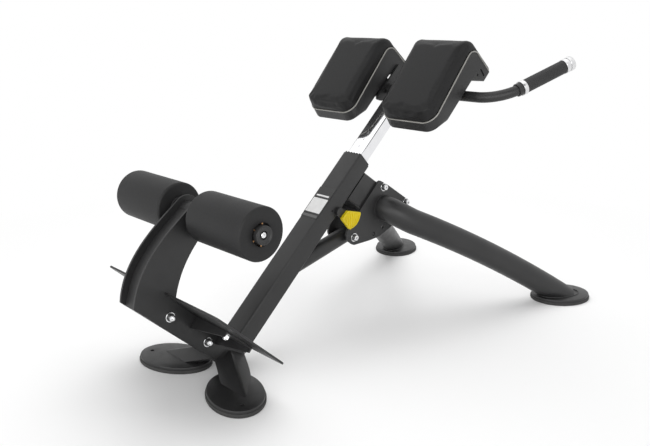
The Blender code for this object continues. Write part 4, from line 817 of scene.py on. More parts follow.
def legPath(sign):
    root = boxAt @ Vector((leg["root"][0], sign * (plateOuter + gap), leg["root"][1]))
    shoulder = root + Vector((leg["shoulder"][0], sign * leg["shoulder"][1], leg["shoulder"][2]))
    end = ground @ Vector((leg["end"][0], sign * leg["end"][1], leg["footTop"]))
    run = end - shoulder
    leaving = (run + Vector((0, 0, 4 * leg["bulge"]))).normalized()
    square = root + Vector((0, sign * leg["handle"], 0))
    points = [Vector(p) for p in bezierPoints(root, square, shoulder - leg["handle"] * leaving, shoulder, 16)]
    # two steps past the end, so the cut at the foot's top is clean
    for i in range(1, leg["steps"] + 3):
        s = i / leg["steps"]
        points.append(shoulder + s * run + Vector((0, 0, 4 * leg["bulge"] * s * (1 - s))))
    return points


def frontLeg(side, sign):
    obj = bar(f"front_leg_{side}_bent", legPath(sign), leg["radius"], steps=64)
    bm = bmesh.new()
    bm.from_mesh(obj.data)
    everything = bm.verts[:] + bm.edges[:] + bm.faces[:]
    cut = bmesh.ops.bisect_plane(
        bm, geom=everything, plane_co=(0, 0, leg["footTop"]), plane_no=(0, 0, -1), clear_outer=True
    )["geom_cut"]
    bmesh.ops.contextual_create(bm, geom=[e for e in cut if isinstance(e, bmesh.types.BMEdge)])
    bmesh.ops.recalc_face_normals(bm, faces=bm.faces)
    bm.to_mesh(obj.data)
    bm.free()
    settle(smoothed(obj, 40), "coat", "bench", f"front_leg_{side}")


def weldBead(name, points, radius=weld["radius"]):
    return bar(
        name, points, radius, closed=True, steps=10, Unevenness=weld["unevenness"], Ripple=weld["ripple"]
    )


def legRootLine(sign):
    at = boxAt @ spot(leg["root"], sign * (plateOuter + weld["lift"]))
    radius = leg["radius"] + gap
    return [at @ Vector((radius * c, 0, radius * s)) for c, s in circleSteps(160)]


def legFootLine(sign):
    # where the leg's round wall meets the foot's top
    path = legPath(sign)
    low = min(range(len(path) - 3), key=lambda i: abs(path[i].z - leg["footTop"]))
    along = (path[low + 1] - path[low - 1]).normalized()
    across = along.cross(Vector((0, 0, 1))).normalized()
    third = along.cross(across)
    points = []
    for c, s in circleSteps(140):
        start = path[low] + leg["radius"] * (c * across + s * third)
        points.append(start + along * (leg["footTop"] - start.z) / along.z)
    return points


def beamMeetLine(start, along, radius):
    # where a round tube meets the beam's front face
    normal = beamAt.to_3x3() @ Vector((0, 0, 1))
    out = Vector((0, 1, 0))
    across = along.cross(out).normalized()
    points = []
    for c, s in circleSteps(120):
        p = start + radius * (c * out + s * across)
        points.append(p + along * ((start - p).dot(normal) / along.dot(normal)))
    return points


for side, sign in sides:
    sidePlate(side, sign)
    platePlug(side, sign)
    frontLeg(side, sign)
braceStart, braceAlong = braceTube()
beads = []
for side, sign in sides:
    beads.append(weldBead(f"bead{side}Root", legRootLine(sign), weld["rootRadius"]))
    beads.append(weldBead(f"bead{side}Foot", legFootLine(sign)))
beads.append(weldBead("beadBrace", beamMeetLine(braceStart, braceAlong, brace["radius"])))
settle(smoothed(joined("weld_beads", beads), 60))
trimmed("stub_box")
for node in ("plate_spacer_upper", "plate_spacer_front"):
    trimmed(node, edge=0.0004)
print("stage: side plates, brace and legs")


# Feet

feet = {
    "front": {"centre": (1.1206, 0.3427), "size": (0.0944, 0.0766), "turn": 29.9},
    "rear": {"centre": (-0.0063, 0.1274), "size": (0.1017, 0.0706), "turn": -66.3},
    "height": 0.0168, "rubber": 0.0098, "inset": 0.003, "holes": ((-0.036, 0.193), (0.012, 0.050)),
    "holeRadius": 0.005, "holeHalf": 0.003,
    # each lip is (height, inset) from the bottom or from the top
    "lowLip": ((0, 0.0022), (0.0006, 0.0008), (0.0022, 0)),
    "topLip": ((-0.0030, 0), (-0.0012, 0.0006), (-0.0003, 0.0018), (0, 0.0035)),
    "plateLip": ((-0.0018, 0), (-0.0009, 0.0003), (-0.0003, 0.0009), (0, 0.0018)),
}


def ovalPoints(foot, sign, inset):
    angle = math.radians(sign * foot["turn"])
    middle = (foot["centre"][0], sign * foot["centre"][1])
    points = []
    for c, s in circleSteps(96):
        along = (foot["size"][0] - inset) * c
        across = (foot["size"][1] - inset) * s
        x = middle[0] + along * math.cos(angle) - across * math.sin(angle)
        points.append((x, middle[1] + along * math.sin(angle) + across * math.cos(angle)))
    return points


def ovalDisc(foot, sign, levels):
    return loft([[(x, y, height) for x, y in ovalPoints(foot, sign, inset)] for height, inset in levels])


def benchFoot(end, side, sign):
    foot, top, height, base = feet[end], feet["rubber"], feet["height"], feet["inset"]
    levels = [*feet["lowLip"], *[(top + up, inset) for up, inset in feet["topLip"]]]
    name = f"{end}_foot_rubber_{side}"
    piece(f"{name}_moulded", ovalDisc(foot, sign, levels), "foot", "bench", ground, name, sharp=60)
    levels = [(top + gap, base), *[(height + up, base + inset) for up, inset in feet["plateLip"]]]
    cutters = []
    for x, y in feet["holes"] if end == "rear" else ():
        at = ground @ Matrix.Translation((x, sign * y, height)) @ upright
        cutters.append((rod(feet["holeRadius"], -feet["holeHalf"], feet["holeHalf"], 32), at))
    name = f"{end}_foot_{side}"
    piece(f"{name}_plate", ovalDisc(foot, sign, levels), "coat", "bench", ground, name, cutters=cutters)


for side, sign in sides:
    benchFoot("front", side, sign)
    benchFoot("rear", side, sign)
trimmed("rear_leg_plate", edge=0.0008)
print("stage: feet")


# Roller arm, base and footplate

arm = {
    "inner": 0.0265, "thickness": 0.0055, "topRadius": 0.036, "edge": 0.0010, "sleeve": 0.0163,
    "rear": ((-0.350, 0.232), (-0.3737, 0.125), (-0.315, 0.045)),
    "front": ((-0.272, 0.245), (-0.275, 0.180), (-0.231, 0.1097)),
    "frontTop": (-0.020, 0.1097), "frontBottom": (-0.031, 0.045),
    "bolts": ((-0.221, 0.074), (-0.085, 0.072)), "plateBolt": (-0.105, 0.100), "bracketSheet": 0.004,
}
armOuter = arm["inner"] + arm["thickness"]
footplate = {
    "bottom": 0.110, "thickness": 0.005, "rear": -0.269, "front": -0.020, "halfWidth": 0.229, "corner": 0.012,
    "notch": 0.033, "notchEnd": -0.230, "notchCorner": 0.003, "edge": 0.0009,
}


def armPlate(side, sign):
    low, high = sorted((sign * arm["inner"], sign * armOuter))
    axle, radius = (layout["axle"][0], layout["axle"][2]), arm["topRadius"]
    outline = arcPoints(axle, radius, 0, 180, 40)
    outline += bezierPoints((axle[0] - radius, axle[1]), *arm["rear"], 48)[1:]
    outline += [arm["frontBottom"], arm["frontTop"]]
    outline += bezierPoints((axle[0] + radius, axle[1]), *arm["front"], 40)[:0:-1]
    holes = rod(arm["sleeve"], *through, 56, axle)
    for place in arm["bolts"]:
        rod(boltHole, *through, 40, place, holes)
    name = f"arm_plate_{side}"
    bm = prism(outline, low, high)
    piece(f"{name}_cut", bm, "coat", "bench", armAt, name, cutters=[holes], edge=arm["edge"])


def standingPlate():
    front, rear, wide, notch = (footplate[key] for key in ("front", "rear", "halfWidth", "notch"))
    corner, small, end = footplate["corner"], footplate["notchCorner"], footplate["notchEnd"]
    corners = [
        ((front, -wide), corner), ((front, wide), corner), ((rear, wide), corner), ((rear, notch), small),
        ((end, notch), 0.0), ((end, -notch), 0.0), ((rear, -notch), small), ((rear, -wide), corner),
    ]
    bm = slab(roundedOutline(corners, 10), footplate["bottom"], footplate["bottom"] + footplate["thickness"])
    piece("standing_plate", bm, "coat", "bench", armAt, "footplate", edge=footplate["edge"])


for side, sign in sides:
    armPlate(side, sign)
    trimmed(f"footplate_bracket_{side}")
standingPlate()
trimmed("arm_web")
trimmed("base_channel")
print("stage: roller arm and footplate")


# Rollers

roller = {
    "radius": 0.060, "inner": 0.0553, "outer": 0.2506, "round": 0.0055, "core": 0.0193, "capRadius": 0.0216,
    "coreRadius": 0.027, "pocket": 0.0258, "pocketDepth": 0.009, "flange": 0.009, "coreFlange": 0.004,
    "dish": 0.0172, "dishFloor": 0.0062, "well": 0.0098, "recess": -0.0020, "plug": 0.016, "lugs": 6,
    "lugTurn": 0.13, "lugDepth": 0.0010, "axle": 0.0062, "screw": 0.0070, "screwHead": 0.0050,
    "socket": 0.0035, "sleeve": 0.016, "boss": 0.022, "capRound": (0.0016, 0.0005), "dishSlope": 0.0018,
    "coreRound": (0.0012, 0.0004), "sleevePlay": 0.0009,
    # the screw's domed head, each point (in from its side, down from its end)
    "dome": ((0, 0.0024), (0.0006, 0.0012), (0.0018, 0.0004), (0.0035, 0)),
}


def foamRoller(side, sign):
    inner, outer, radius, rim = roller["inner"], roller["outer"], roller["radius"], roller["round"]
    core, pocket, floor = roller["core"], roller["pocket"], outer - roller["pocketDepth"]
    profile = eased(
        (core, inner), *arcPoints((radius - rim, inner + rim), rim, -90, 0, 10),
        *arcPoints((radius - rim, outer - rim), rim, 0, 90, 10),
        (pocket, outer, soft), (pocket, floor), (core, floor),
    )
    bm = turned(profile, 128, True, sign)
    obj = piece(f"roller_foam_{side}", bm, "foam", f"roller_{side}", axleAt, f"foam_roller_{side}", sharp=50)


def hubCap(side, sign):
    face, core, body = roller["outer"], roller["core"] - gap, f"roller_{side}"
    seat, rim, floor = face - roller["pocketDepth"] + gap, face + roller["flange"], face + roller["dishFloor"]
    radius, dish, well, bore = roller["capRadius"], roller["dish"], roller["well"], roller["axle"] + soft
    start, under, lip = face - roller["plug"], face - roller["recess"], dish + roller["dishSlope"]
    profile = eased(
        (bore, start), (core, start, 0.001), (core, seat), (radius, seat), (radius, rim, *roller["capRound"]),
        (lip + soft, rim), (lip, rim - gap), (dish, floor + gap), (dish - 0.0005, floor),
        (well, floor, 0.0004), (well, under), (bore, under),
    )
    bm = turned(profile, 96, True, sign)
    piece(f"hub_cap_{side}_dished", bm, "plastic", body, axleAt, f"hub_cap_{side}")
    # bronze lugs show in the dark gap round the cap
    lugs = []
    low, high = sorted((sign * (seat - 0.0002), sign * (face - roller["lugDepth"])))
    middle, thick = (radius + roller["pocket"]) / 2, (roller["pocket"] - radius) / 2 - gap
    for i in range(roller["lugs"]):
        angle = math.tau * (i + roller["lugTurn"]) / roller["lugs"]
        place = (middle * math.cos(angle), middle * math.sin(angle))
        lugs.append(newObject("lug", rod(thick, low, high, 24, place), "bush", axleAt))
    settle(joined(f"roller_lugs_{side}", lugs), "bush", body)


def rollerCore(side, sign):
    start, flange = roller["inner"] - roller["coreFlange"], roller["inner"] - gap
    end, bore, core = roller["outer"] - roller["plug"] - gap, roller["axle"] + soft, roller["core"] - gap
    radius, name = roller["coreRadius"], f"roller_core_{side}"
    profile = eased(
        (bore, start), (radius, start, *roller["coreRound"]), (radius, flange), (core, flange),
        (core, end), (bore, end),
    )
    piece(f"{name}_turned", turned(profile, 80, True, sign), "plastic", f"roller_{side}", axleAt, name)


def axleBolt():
    seat = roller["outer"] - roller["recess"] + soft
    end = seat + roller["screwHead"]
    radius, axle, socket = roller["screw"], roller["axle"], roller["socket"]
    half = [(axle, seat), (radius, seat)]
    half += [(radius - inward, end - down) for inward, down in roller["dome"]] + [(0, end)]
    sockets = rod(socket, end - 0.003, end + 0.002, 6)
    rod(socket, -end - 0.002, 0.003 - end, 6, bm=sockets)
    bm = turned(bothEnds(half), 72)
    piece("axle_bolt", bm, "zinc", "bench", axleAt, "roller_axle", cutters=[sockets], edge=0.0003)


def axleTube():
    end, inner = roller["inner"] - roller["coreFlange"] - roller["sleevePlay"], arm["inner"] - gap
    bore, radius, boss = roller["axle"] + gap, roller["sleeve"], roller["boss"]
    bm = turned(bothEnds([(boss, inner), (radius, inner), (radius, end), (bore, end)]), 72, True)
    piece("axle_sleeve_turned", bm, "coat", "bench", axleAt, "axle_sleeve", edge=0.0004)


for side, sign in sides:
    foamRoller(side, sign)
    hubCap(side, sign)
    rollerCore(side, sign)
axleBolt()
axleTube()
print("stage: rollers")


# Bolts, washers and nuts

bolt = {
    "shank": 0.006, "headRadius": 0.0078, "headHeight": 0.0090, "washerRadius": 0.0122, "washer": 0.0018,
    "headEdge": 0.0009, "socket": 0.0034, "socketDepth": 0.0040, "darkGapRingRadius": 0.0096, "spring": 0.0022,
    "split": 0.0006, "nutFlats": 0.0092, "nutHeight": 0.0080, "nutCorner": 0.0022,
    "nutChamfer": (0.0012, 0.0014), "thread": 0.0010, "threads": 4, "edge": 0.0004,
}


def headPattern():
    # origin on the plate's face, the head towards -Y
    under, edge, small = -bolt["washer"], bolt["headEdge"], bolt["edge"]
    top = under - bolt["headHeight"]
    radius, wide = bolt["headRadius"], bolt["washerRadius"]
    profile = eased(
        (0, top), (radius, top, edge, 0.3 * edge), (radius, under - small), (radius - small, under),
        (wide, under, small), (wide, -gap), (0, -gap),
    )
    obj = newObject("boltHead", turned(profile, 56), "zinc")
    carve(obj, [(rod(bolt["socket"], top - 0.002, top + bolt["socketDepth"], 6), world)])
    return smoothed(obj, 30)


def darkGapRingPattern():
    # split ring under the head, in black: a dark piece put where there is only shade, painting the dark ring
    # of shade and dark reflection between head and washer
    wide, close = bolt["darkGapRingRadius"], bolt["headRadius"] + 0.0001
    low, high = -bolt["washer"] - 0.0002, -bolt["washer"] - bolt["spring"]
    bm = turned(eased((close, low), (wide, low), (wide, high, gap), (close, high)), 48, True)
    obj = newObject("springRing", bm, "oxide")
    split = bolt["split"]
    carve(obj, [(prism([(0, -split), (0.03, -split), (0.03, split), (0, split)], -0.01, 0.01), world)])
    return smoothed(obj, 30)


def nutPattern():
    # origin on the plate's face, the nut towards +Y, with the thread's end showing
    shank, wide, under, flats = bolt["shank"], bolt["washerRadius"], bolt["washer"], bolt["nutFlats"]
    washer = turned([(shank, gap), (wide, gap), (wide, under), (shank, under)], 48, True)
    seat = under + 0.0001
    top = seat + bolt["nutHeight"]
    nut = newObject("nutBody", rod(flats / math.cos(math.pi / 6), seat, top, 6), "zinc")
    corners, (low, high) = flats + bolt["nutCorner"], bolt["nutChamfer"]
    chamfer = [(0, seat), (flats + soft, seat), (corners, seat + low), (corners, top - high)]
    chamfer += [(flats - 0.0002, top), (0, top)]
    carve(nut, [(turned(chamfer, 48), world)], "INTERSECT")
    start, pitch, count = top - 0.001, bolt["thread"], bolt["threads"]
    thread = [(0, start)]
    for i in range(count):
        y = start + i * pitch
        thread += [(shank - soft, y), (shank - 0.0001, y + pitch / 2)]
    thread += [(shank - 0.0010, start + count * pitch), (0, start + count * pitch)]
    parts = [newObject("nutWasher", washer, "zinc"), nut, newObject("threadEnd", turned(thread, 40), "zinc")]
    return smoothed(joined("nut", parts), 30)


def throughBolts():
    heads, nuts, shanks = [], [], []
    rows = ((boxAt, plateOuter, plates["bolts"], 0.4, 0.2), (armAt, armOuter, arm["bolts"], 0.9, 0.5))
    for at, half, places, headTurn, nutTurn in rows:
        for index, place in enumerate(places):
            for group, y, turn in ((heads, -half, headTurn), (nuts, half, nutTurn)):
                group.append(at @ spot(place, y) @ Matrix.Rotation(turn + index, 4, "Y"))
            shanks.append((at, place, half))
    # two more hold the footplate on its brackets, heads on top
    above = footplate["bottom"] + footplate["thickness"]
    below = footplate["bottom"] - gap - arm["bracketSheet"]
    for side, sign in sides:
        for group, height in ((heads, above), (nuts, below)):
            place = (arm["plateBolt"][0], sign * arm["plateBolt"][1], height)
            group.append(armAt @ Matrix.Translation(place) @ upright.inverted())
    head, nut, ring = headPattern(), nutPattern(), darkGapRingPattern()
    # black rings under the heads: painted shade and painted dark reflection between each head and its washer
    settle(copiesOf("spring_rings", ring, heads, "oxide"), "oxide")
    parts = [copiesOf("boltHeads", head, heads, "zinc"), copiesOf("boltNuts", nut, nuts, "zinc")]
    for at, place, half in shanks:
        parts.append(newObject("shank", rod(bolt["shank"] - 0.0002, -half, half, 32, place), "zinc", at))
    for pattern in (head, nut, ring):
        bpy.data.objects.remove(pattern, do_unlink=True)
    replaced = ["plate_bolt_upper", "plate_bolt_front", "plate_bolt_lower", "arm_bolt_rear", "arm_bolt_front"]
    settle(joined("through_bolts", parts), "zinc", "bench", *replaced)


throughBolts()
print("stage: bolts")


# Pads: cushion, piping and moulded shell

pad = {
    "inner": 0.055, "outer": 0.235, "corner": 0.038, "top": 0.008, "lowEdge": -0.1265, "lowPiping": -0.137,
    "topBend": (0.085, -0.032, 0.040), "pipingBend": (0.081, -0.057, 0.031), "pipingDepth": -0.026,
    "flapEnd": -0.133, "flapCorner": 0.010, "crown": 0.002, "pipingRadius": 0.0018, "shellRound": 0.006,
    # the shell's lower corners, each with how much it is drawn in at the pad's ends
    "shellOutline": (
        ((0.080, -0.134), 0.0), ((0.046, -0.087), 0.0), ((-0.104, -0.074), 0.6), ((-0.145, -0.056), 1.0),
    ),
    "slot": ((0.091, -0.094), (0.088, -0.120)), "slotWidth": 0.005, "slotCorner": 0.0022, "slotDeep": 0.004,
    "hole": (0.072, -0.095), "holeRadius": 0.003, "voxel": 0.0042, "cap": 0.0028, "frames": 20,
    # how far in, and how full, the cover's first rounds are
    "roundIn": (
        (0.0, 0.05), (0.001, 0.18), (0.002, 0.31), (0.0032, 0.46), (0.0045, 0.62), (0.006, 0.77),
        (0.0075, 0.90), (0.009, 0.97), (0.0105, 1.0),
    ),
    # where the cover is held while it swells
    "heldSide": 0.003, "heldUnder": (0.075, 0.002), "heldFlap": 0.006, "heldLow": (0.012, -0.018),
}
cover = {
    "quality": 6, "mass": 0.4, "tension_stiffness": 18, "compression_stiffness": 18, "shear_stiffness": 8,
    "bending_stiffness": 1.5, "use_pressure": True, "uniform_pressure_force": 4.0,
}
padHalf = (pad["outer"] - pad["inner"]) / 2
flatSteps, bendSteps, flapSteps = 20, 16, 8


def padCurve(bend, lowEdge, depth):
    points = [(v, depth) for v in evenly(lowEdge, bend[0], flatSteps)[:-1]]
    points += arcPoints(bend[:2], bend[2], 90, 0, bendSteps)
    return points + [(bend[0] + bend[2], m) for m in evenly(bend[1], pad["flapEnd"], flapSteps)[1:]]


def cornerDraw(distance):
    if distance >= pad["corner"]:
        return 0.0
    return pad["corner"] - math.sqrt(pad["corner"] ** 2 - (pad["corner"] - distance) ** 2)


def padSection(distance, share):
    top = padCurve(pad["topBend"], pad["lowEdge"], pad["top"])
    line = padCurve(pad["pipingBend"], pad["lowPiping"], pad["pipingDepth"])
    crown = pad["crown"] * (1 - (1 - min(distance / padHalf, 1)) ** 2)
    drawn = cornerDraw(distance)
    upper = []
    for (v, m), (pv, pm) in zip(top, line):
        point = Vector((pv + (v - pv) * share, pm + (m - pm) * share))
        upper.append(point + Vector((v - pv, m - pm)).normalized() * crown * share)
    lower = [Vector(p) for p in line]
    for points in (upper, lower):
        bendStart = points[flatSteps].x
        room = bendStart - points[0].x
        for i in range(flatSteps):
            points[i] = points[i] + Vector((drawn * (bendStart - points[i].x) / room, 0))
    return upper, lower


def padStations():
    steps = list(pad["roundIn"])
    steps += [(steps[-1][0] + 0.004 * i, 1.0) for i in range(1, 9)]
    steps += [(0.048 + 0.008 * i, 1.0) for i in range(6)]
    return [(d, s) for d, s in steps if d < padHalf - 0.001] + [(padHalf, 1.0)]


def acrossPad(sign, sections):
    places = [(pad["inner"] + distance, points) for distance, points in sections]
    places += [(pad["outer"] - distance, points) for distance, points in sections[-2::-1]]
    return [[(p[0], sign * y, p[1]) for p in points] for y, points in places]


def directionsOf(path):
    last = len(path) - 1
    return [(path[min(i + 1, last)] - path[max(i - 1, 0)]).normalized() for i in range(len(path))]


def blowUp(obj, start):
    cloth = obj.modifiers.new("cloth", "CLOTH")
    for key, value in cover.items():
        setattr(cloth.settings, key, value)
    cloth.settings.effector_weights.gravity = 0
    cloth.settings.vertex_group_mass = "held"
    cloth.collision_settings.use_collision = False
    cloth.point_cache.frame_start = 1
    cloth.point_cache.frame_end = pad["frames"]
    for frameNumber in range(1, pad["frames"] + 1):
        bpy.context.scene.frame_set(frameNumber)
    moved = resultMesh(obj)
    shift = np.array([v.co for v in moved.vertices], float) - start
    bpy.data.meshes.remove(moved)
    obj.modifiers.clear()
    length = np.linalg.norm(shift, axis=1)
    shift *= (np.minimum(length, pad["cap"]) / np.maximum(length, 1e-9))[:, None]
    obj.data.vertices.foreach_set("co", (start + shift).ravel())
    bpy.context.scene.frame_set(1)
    print("stage: swelled", obj.name, "by up to", round(float(length.max()) * 1000, 1), "mm before the cap")


def swell(obj):
    # foam under a taut cover: remeshed, then blown up a little with its underside held
    remesh = obj.modifiers.new("remesh", "REMESH")
    remesh.mode = "VOXEL"
    remesh.voxel_size = pad["voxel"]
    keepResult(obj)
    start = np.array([v.co for v in obj.data.vertices], float)
    back = np.array(padAt.inverted())
    held = obj.vertex_groups.new(name="held")
    for i, (v, y, m) in enumerate(start @ back[:3, :3].T + back[:3, 3]):
        atSide = min(abs(y) - pad["inner"], pad["outer"] - abs(y)) < pad["heldSide"]
        under = m < pad["pipingDepth"] - pad["heldUnder"][1] and v < pad["heldUnder"][0]
        low = v < pad["lowPiping"] + pad["heldLow"][0] and m < pad["heldLow"][1]
        if atSide or under or low or m < pad["flapEnd"] + pad["heldFlap"]:
            held.add([i], 1.0, "REPLACE")
    blowUp(obj, start)
    obj.vertex_groups.clear()
    relax = obj.modifiers.new("relax", "SMOOTH")
    relax.factor = 0.5
    relax.iterations = 2
    keepResult(obj)
    finer = obj.modifiers.new("finer", "SUBSURF")
    finer.levels = 1
    finer.render_levels = 1
    return keepResult(obj)


def padCushion(side, sign):
    sections = []
    for distance, share in padStations():
        upper, lower = padSection(distance, share)
        sections.append((distance, upper + lower[::-1]))
    obj = swell(newObject(f"cushion_{side}", loft(acrossPad(sign, sections)), "vinyl", padAt))
    obj.data.shade_smooth()
    settle(obj, "vinyl", "pad_carriage", f"pad_cushion_{side}")


def pipingPath(sign):
    # from the middle of the low edge, round one corner and down the flap's side
    inner, corner, depth, low = pad["inner"], pad["corner"], pad["pipingDepth"], pad["lowPiping"]
    bend, end, small = pad["pipingBend"], pad["flapEnd"], pad["flapCorner"]
    front, middle = bend[0] + bend[2], (inner + pad["outer"]) / 2
    half = [(low, y, depth) for y in evenly(middle, inner + corner, 6)]
    half += [(x, y, depth) for x, y in arcPoints((low + corner, inner + corner), corner, 180, 270, 20)[1:]]
    half += [(x, inner, depth) for x in evenly(low + corner, bend[0], 24)[1:]]
    half += [(v, inner, m) for v, m in arcPoints(bend[:2], bend[2], 90, 0, 14)[1:]]
    half += [(front, inner, m) for m in evenly(bend[1], end + small, 10)[1:]]
    half += [(front, y, m) for y, m in arcPoints((inner + small, end + small), small, 180, 270, 8)[1:]]
    half.append((front, middle, end))
    other = [(v, 2 * middle - y, m) for v, y, m in half[-2:0:-1]]
    return [padAt @ Vector((v, sign * y, m)) for v, y, m in half + other]


def padPiping(side, sign):
    obj = bar(f"piping_{side}", pipingPath(sign), pad["pipingRadius"], "piping", closed=True, steps=14)
    settle(obj, "piping", "pad_carriage")


def padShell(side, sign):
    sections = []
    for distance, share in padStations():
        lower = padSection(distance, 1.0)[1]
        upper = [p - gap * Vector((-d.y, d.x)) for p, d in zip(lower, directionsOf(lower))]
        drawn, edge = cornerDraw(distance), pad["shellRound"]
        lift = edge * (1 - math.sqrt(max(0.0, 1 - (1 - min(distance / edge, 1)) ** 2)))
        base = [Vector((v + amount * drawn, m + lift)) for (v, m), amount in pad["shellOutline"]]
        sections.append((distance, upper + base))
    outer = sorted((sign * (pad["outer"] - pad["slotDeep"]), sign * (pad["outer"] + pad["slotDeep"])))
    start, end = Vector(pad["slot"][0]), Vector(pad["slot"][1])
    step = pad["slotWidth"] / 2 * (end - start).orthogonal().normalized()
    corners = [(tuple(p), pad["slotCorner"]) for p in (start + step, end + step, end - step, start - step)]
    cutters = [prism(roundedOutline(corners, 6), *outer), rod(pad["holeRadius"], *outer, 28, pad["hole"])]
    bm = loft(acrossPad(sign, sections))
    piece(
        f"shell_{side}", bm, "shell", "pad_carriage", padAt, f"pad_shell_{side}", cutters=cutters, edge=0.0008
    )


for side, sign in sides:
    padCushion(side, sign)
    padPiping(side, sign)
    padShell(side, sign)
    trimmed(f"pad_bracket_{side}", "coat", "pad_carriage")
print("stage: pads")


# Handle and grips

handle = {
    "u": 0.990, "radius": 0.014, "straight": 0.259, "bend": 0.096, "direction": (0.886, 0.303, 0.350),
    "collar": 0.0125, "gripStart": 0.0125, "gripLength": 0.134, "gripRadius": 0.018, "ring": 0.0195,
    "ringLength": 0.0125, "capLength": 0.0135, "groove": 0.003, "grooveDepth": 0.003, "plug": 0.012,
    "plugPlay": 0.0028, "ribs": 22, "ribEnds": 0.006, "ribDepth": 0.00035,
    "ribSteps": (0.0004, 0.0011, 0.0015), "shoulder": 0.0172, "shoulderSteps": 2,
    "collarRound": (0.001, 0.0003), "capRound": (0.002, 0.0006), "capRim": 0.006, "capSink": 0.0005,
}


def handleBend(sign, steps=20):
    middle = beamAt @ Vector((handle["u"], 0, tubeMiddle))
    out = Vector((0, sign, 0))
    x, y, z = handle["direction"]
    leaving = Vector((x, sign * y, z)).normalized()
    inward = (leaving - out * leaving.dot(out)).normalized()
    centre = middle + out * handle["straight"] + inward * handle["bend"]
    points = []
    for angle in evenly(0, out.angle(leaving), steps):
        points.append(centre + handle["bend"] * (math.sin(angle) * out - math.cos(angle) * inward))
    return points, leaving


def handleBar():
    right, rightWay = handleBend(-1)
    left, leftWay = handleBend(1)
    length = handle["gripStart"] + handle["gripLength"]
    path = [right[-1] + rightWay * length] + right[::-1] + left + [left[-1] + leftWay * length]
    settle(bar("handle_bent", path, handle["radius"], steps=48), "coat", "pad_carriage", "handle_tube")


def gripSleeve(bore, radius, start, end):
    depth, ends, (first, second, third) = handle["ribDepth"], handle["ribEnds"], handle["ribSteps"]
    pitch = (end - start - 2 * ends) / handle["ribs"]
    ribs = []
    for i in range(handle["ribs"]):
        y = start + ends + i * pitch
        ribs += [(radius, y), (radius - depth, y + first), (radius - depth, y + second), (radius, y + third)]
    profile = eased((bore, start), (radius, start, 0.001), *ribs, (radius, end, 0.001), (bore, end))
    return turned(profile, 64, True)


def gripSet(side, sign):
    points, leaving = handleBend(sign)
    at = Matrix.Translation(points[-1]) @ turnTo(leaving)
    bore, start, ring = handle["radius"] + gap, handle["gripStart"], handle["ring"]
    end, low, high = start + handle["gripLength"], start - handle["collar"], start - gap
    collar = eased((bore, low), (ring, low, *handle["collarRound"]), (ring, high, soft), (bore, high))
    # the shoulder follows the tube's bend up to the collar
    back = points[-1 - handle["shoulderSteps"]:-1] + [points[-1] + leaving * (low - 0.0004)]
    sleeve = gripSleeve(bore, handle["gripRadius"], start, end)
    seat, plug, neck = end + gap, handle["radius"] - handle["plugPlay"], ring - handle["grooveDepth"]
    ringEnd, inside = seat + handle["ringLength"], seat - handle["plug"]
    capStart = ringEnd + handle["groove"]
    capEnd = capStart + handle["capLength"]
    rim, sunk = ring - handle["capRim"], capEnd - handle["capSink"]
    cap = turned(eased(
        (0, inside), (plug, inside), (plug, seat), (ring, seat, soft), (ring, ringEnd, soft), (neck, ringEnd),
        (neck, capStart), (ring, capStart, soft), (ring, capEnd, *handle["capRound"]), (rim, capEnd),
        (rim - handle["capSink"], sunk), (0, sunk),
    ), 64)
    body, bm = "pad_carriage", turned(collar, 64, True)
    piece(f"grip_collar_{side}", bm, "aluminium", body, at, f"grip_ring_inner_{side}")
    settle(bar(f"grip_shoulder_{side}", back, handle["shoulder"], steps=48), "coat", body)
    piece(f"grip_rubber_{side}", sleeve, "grip", body, at, f"grip_sleeve_{side}", sharp=25)
    piece(f"grip_end_{side}", cap, "aluminium", body, at, f"grip_cap_{side}")


handleBar()
for side, sign in sides:
    gripSet(side, sign)
print("stage: handle and grips")


# Floor, light and camera

stageSizes = {
    "floor": 12.0, "floorColour": 0.86, "nearShare": 0.10, "nearGlow": 1.0, "nearRadius": 0.8,
    "farRadius": 1.9, "world": 0.55, "cardPlace": (-0.95, -2.1, 2.7), "cardAim": (0, 0, 0.5),
    "cardHalf": (0.9, 0.7), "cardColour": 0.01, "rough": 0.9,
}
view = {"place": (-1.4179, -1.3710, 0.8678), "heading": 46.04, "down": 16.13, "lens": 39.97, "far": 60}
lamps = {
    "topSoft": ((0.2, 0.4, 3.0), (0, 0, 0.3), (3.4, 3.4), 15),
    "frontSoft": ((-1.9, -2.9, 1.3), (0, 0, 0.4), (2.6, 2.2), 31),
    "rearSoft": ((-3.1, -0.5, 0.7), (0, 0, 0.2), (2.8, 1.2), 26),
    "floorSoft": ((0.7, 0.7, 3.1), (0.0, 0, 0), (2.9, 2.9), 67),
}


def aimed(place, aim, axis):
    return (Vector(aim) - Vector(place)).to_track_quat(axis, "Y")


def rectangle(name, look, half, tone, at=world):
    x, y = half
    mesh = bpy.data.meshes.new(name)
    corners = ((-x, -y, 0), (x, -y, 0), (x, y, 0), (-x, y, 0))
    mesh.from_pydata([tuple(at @ Vector(corner)) for corner in corners], [], [(0, 1, 2, 3)])
    made, tree, shader = newMaterial(look)
    setInputs(tree, shader, {"Base Color": (tone, tone, tone, 1), "Roughness": stageSizes["rough"]})
    mesh.materials.append(made)
    return shown(name, mesh), tree, shader


def raysOf(tree, *kinds):
    rays = addNode(tree, "ShaderNodeLightPath", {}).outputs
    share = rays[kinds[0]]
    for kind in kinds[1:]:
        share = mathNode(tree, "MAXIMUM", share, rays[kind])
    return share


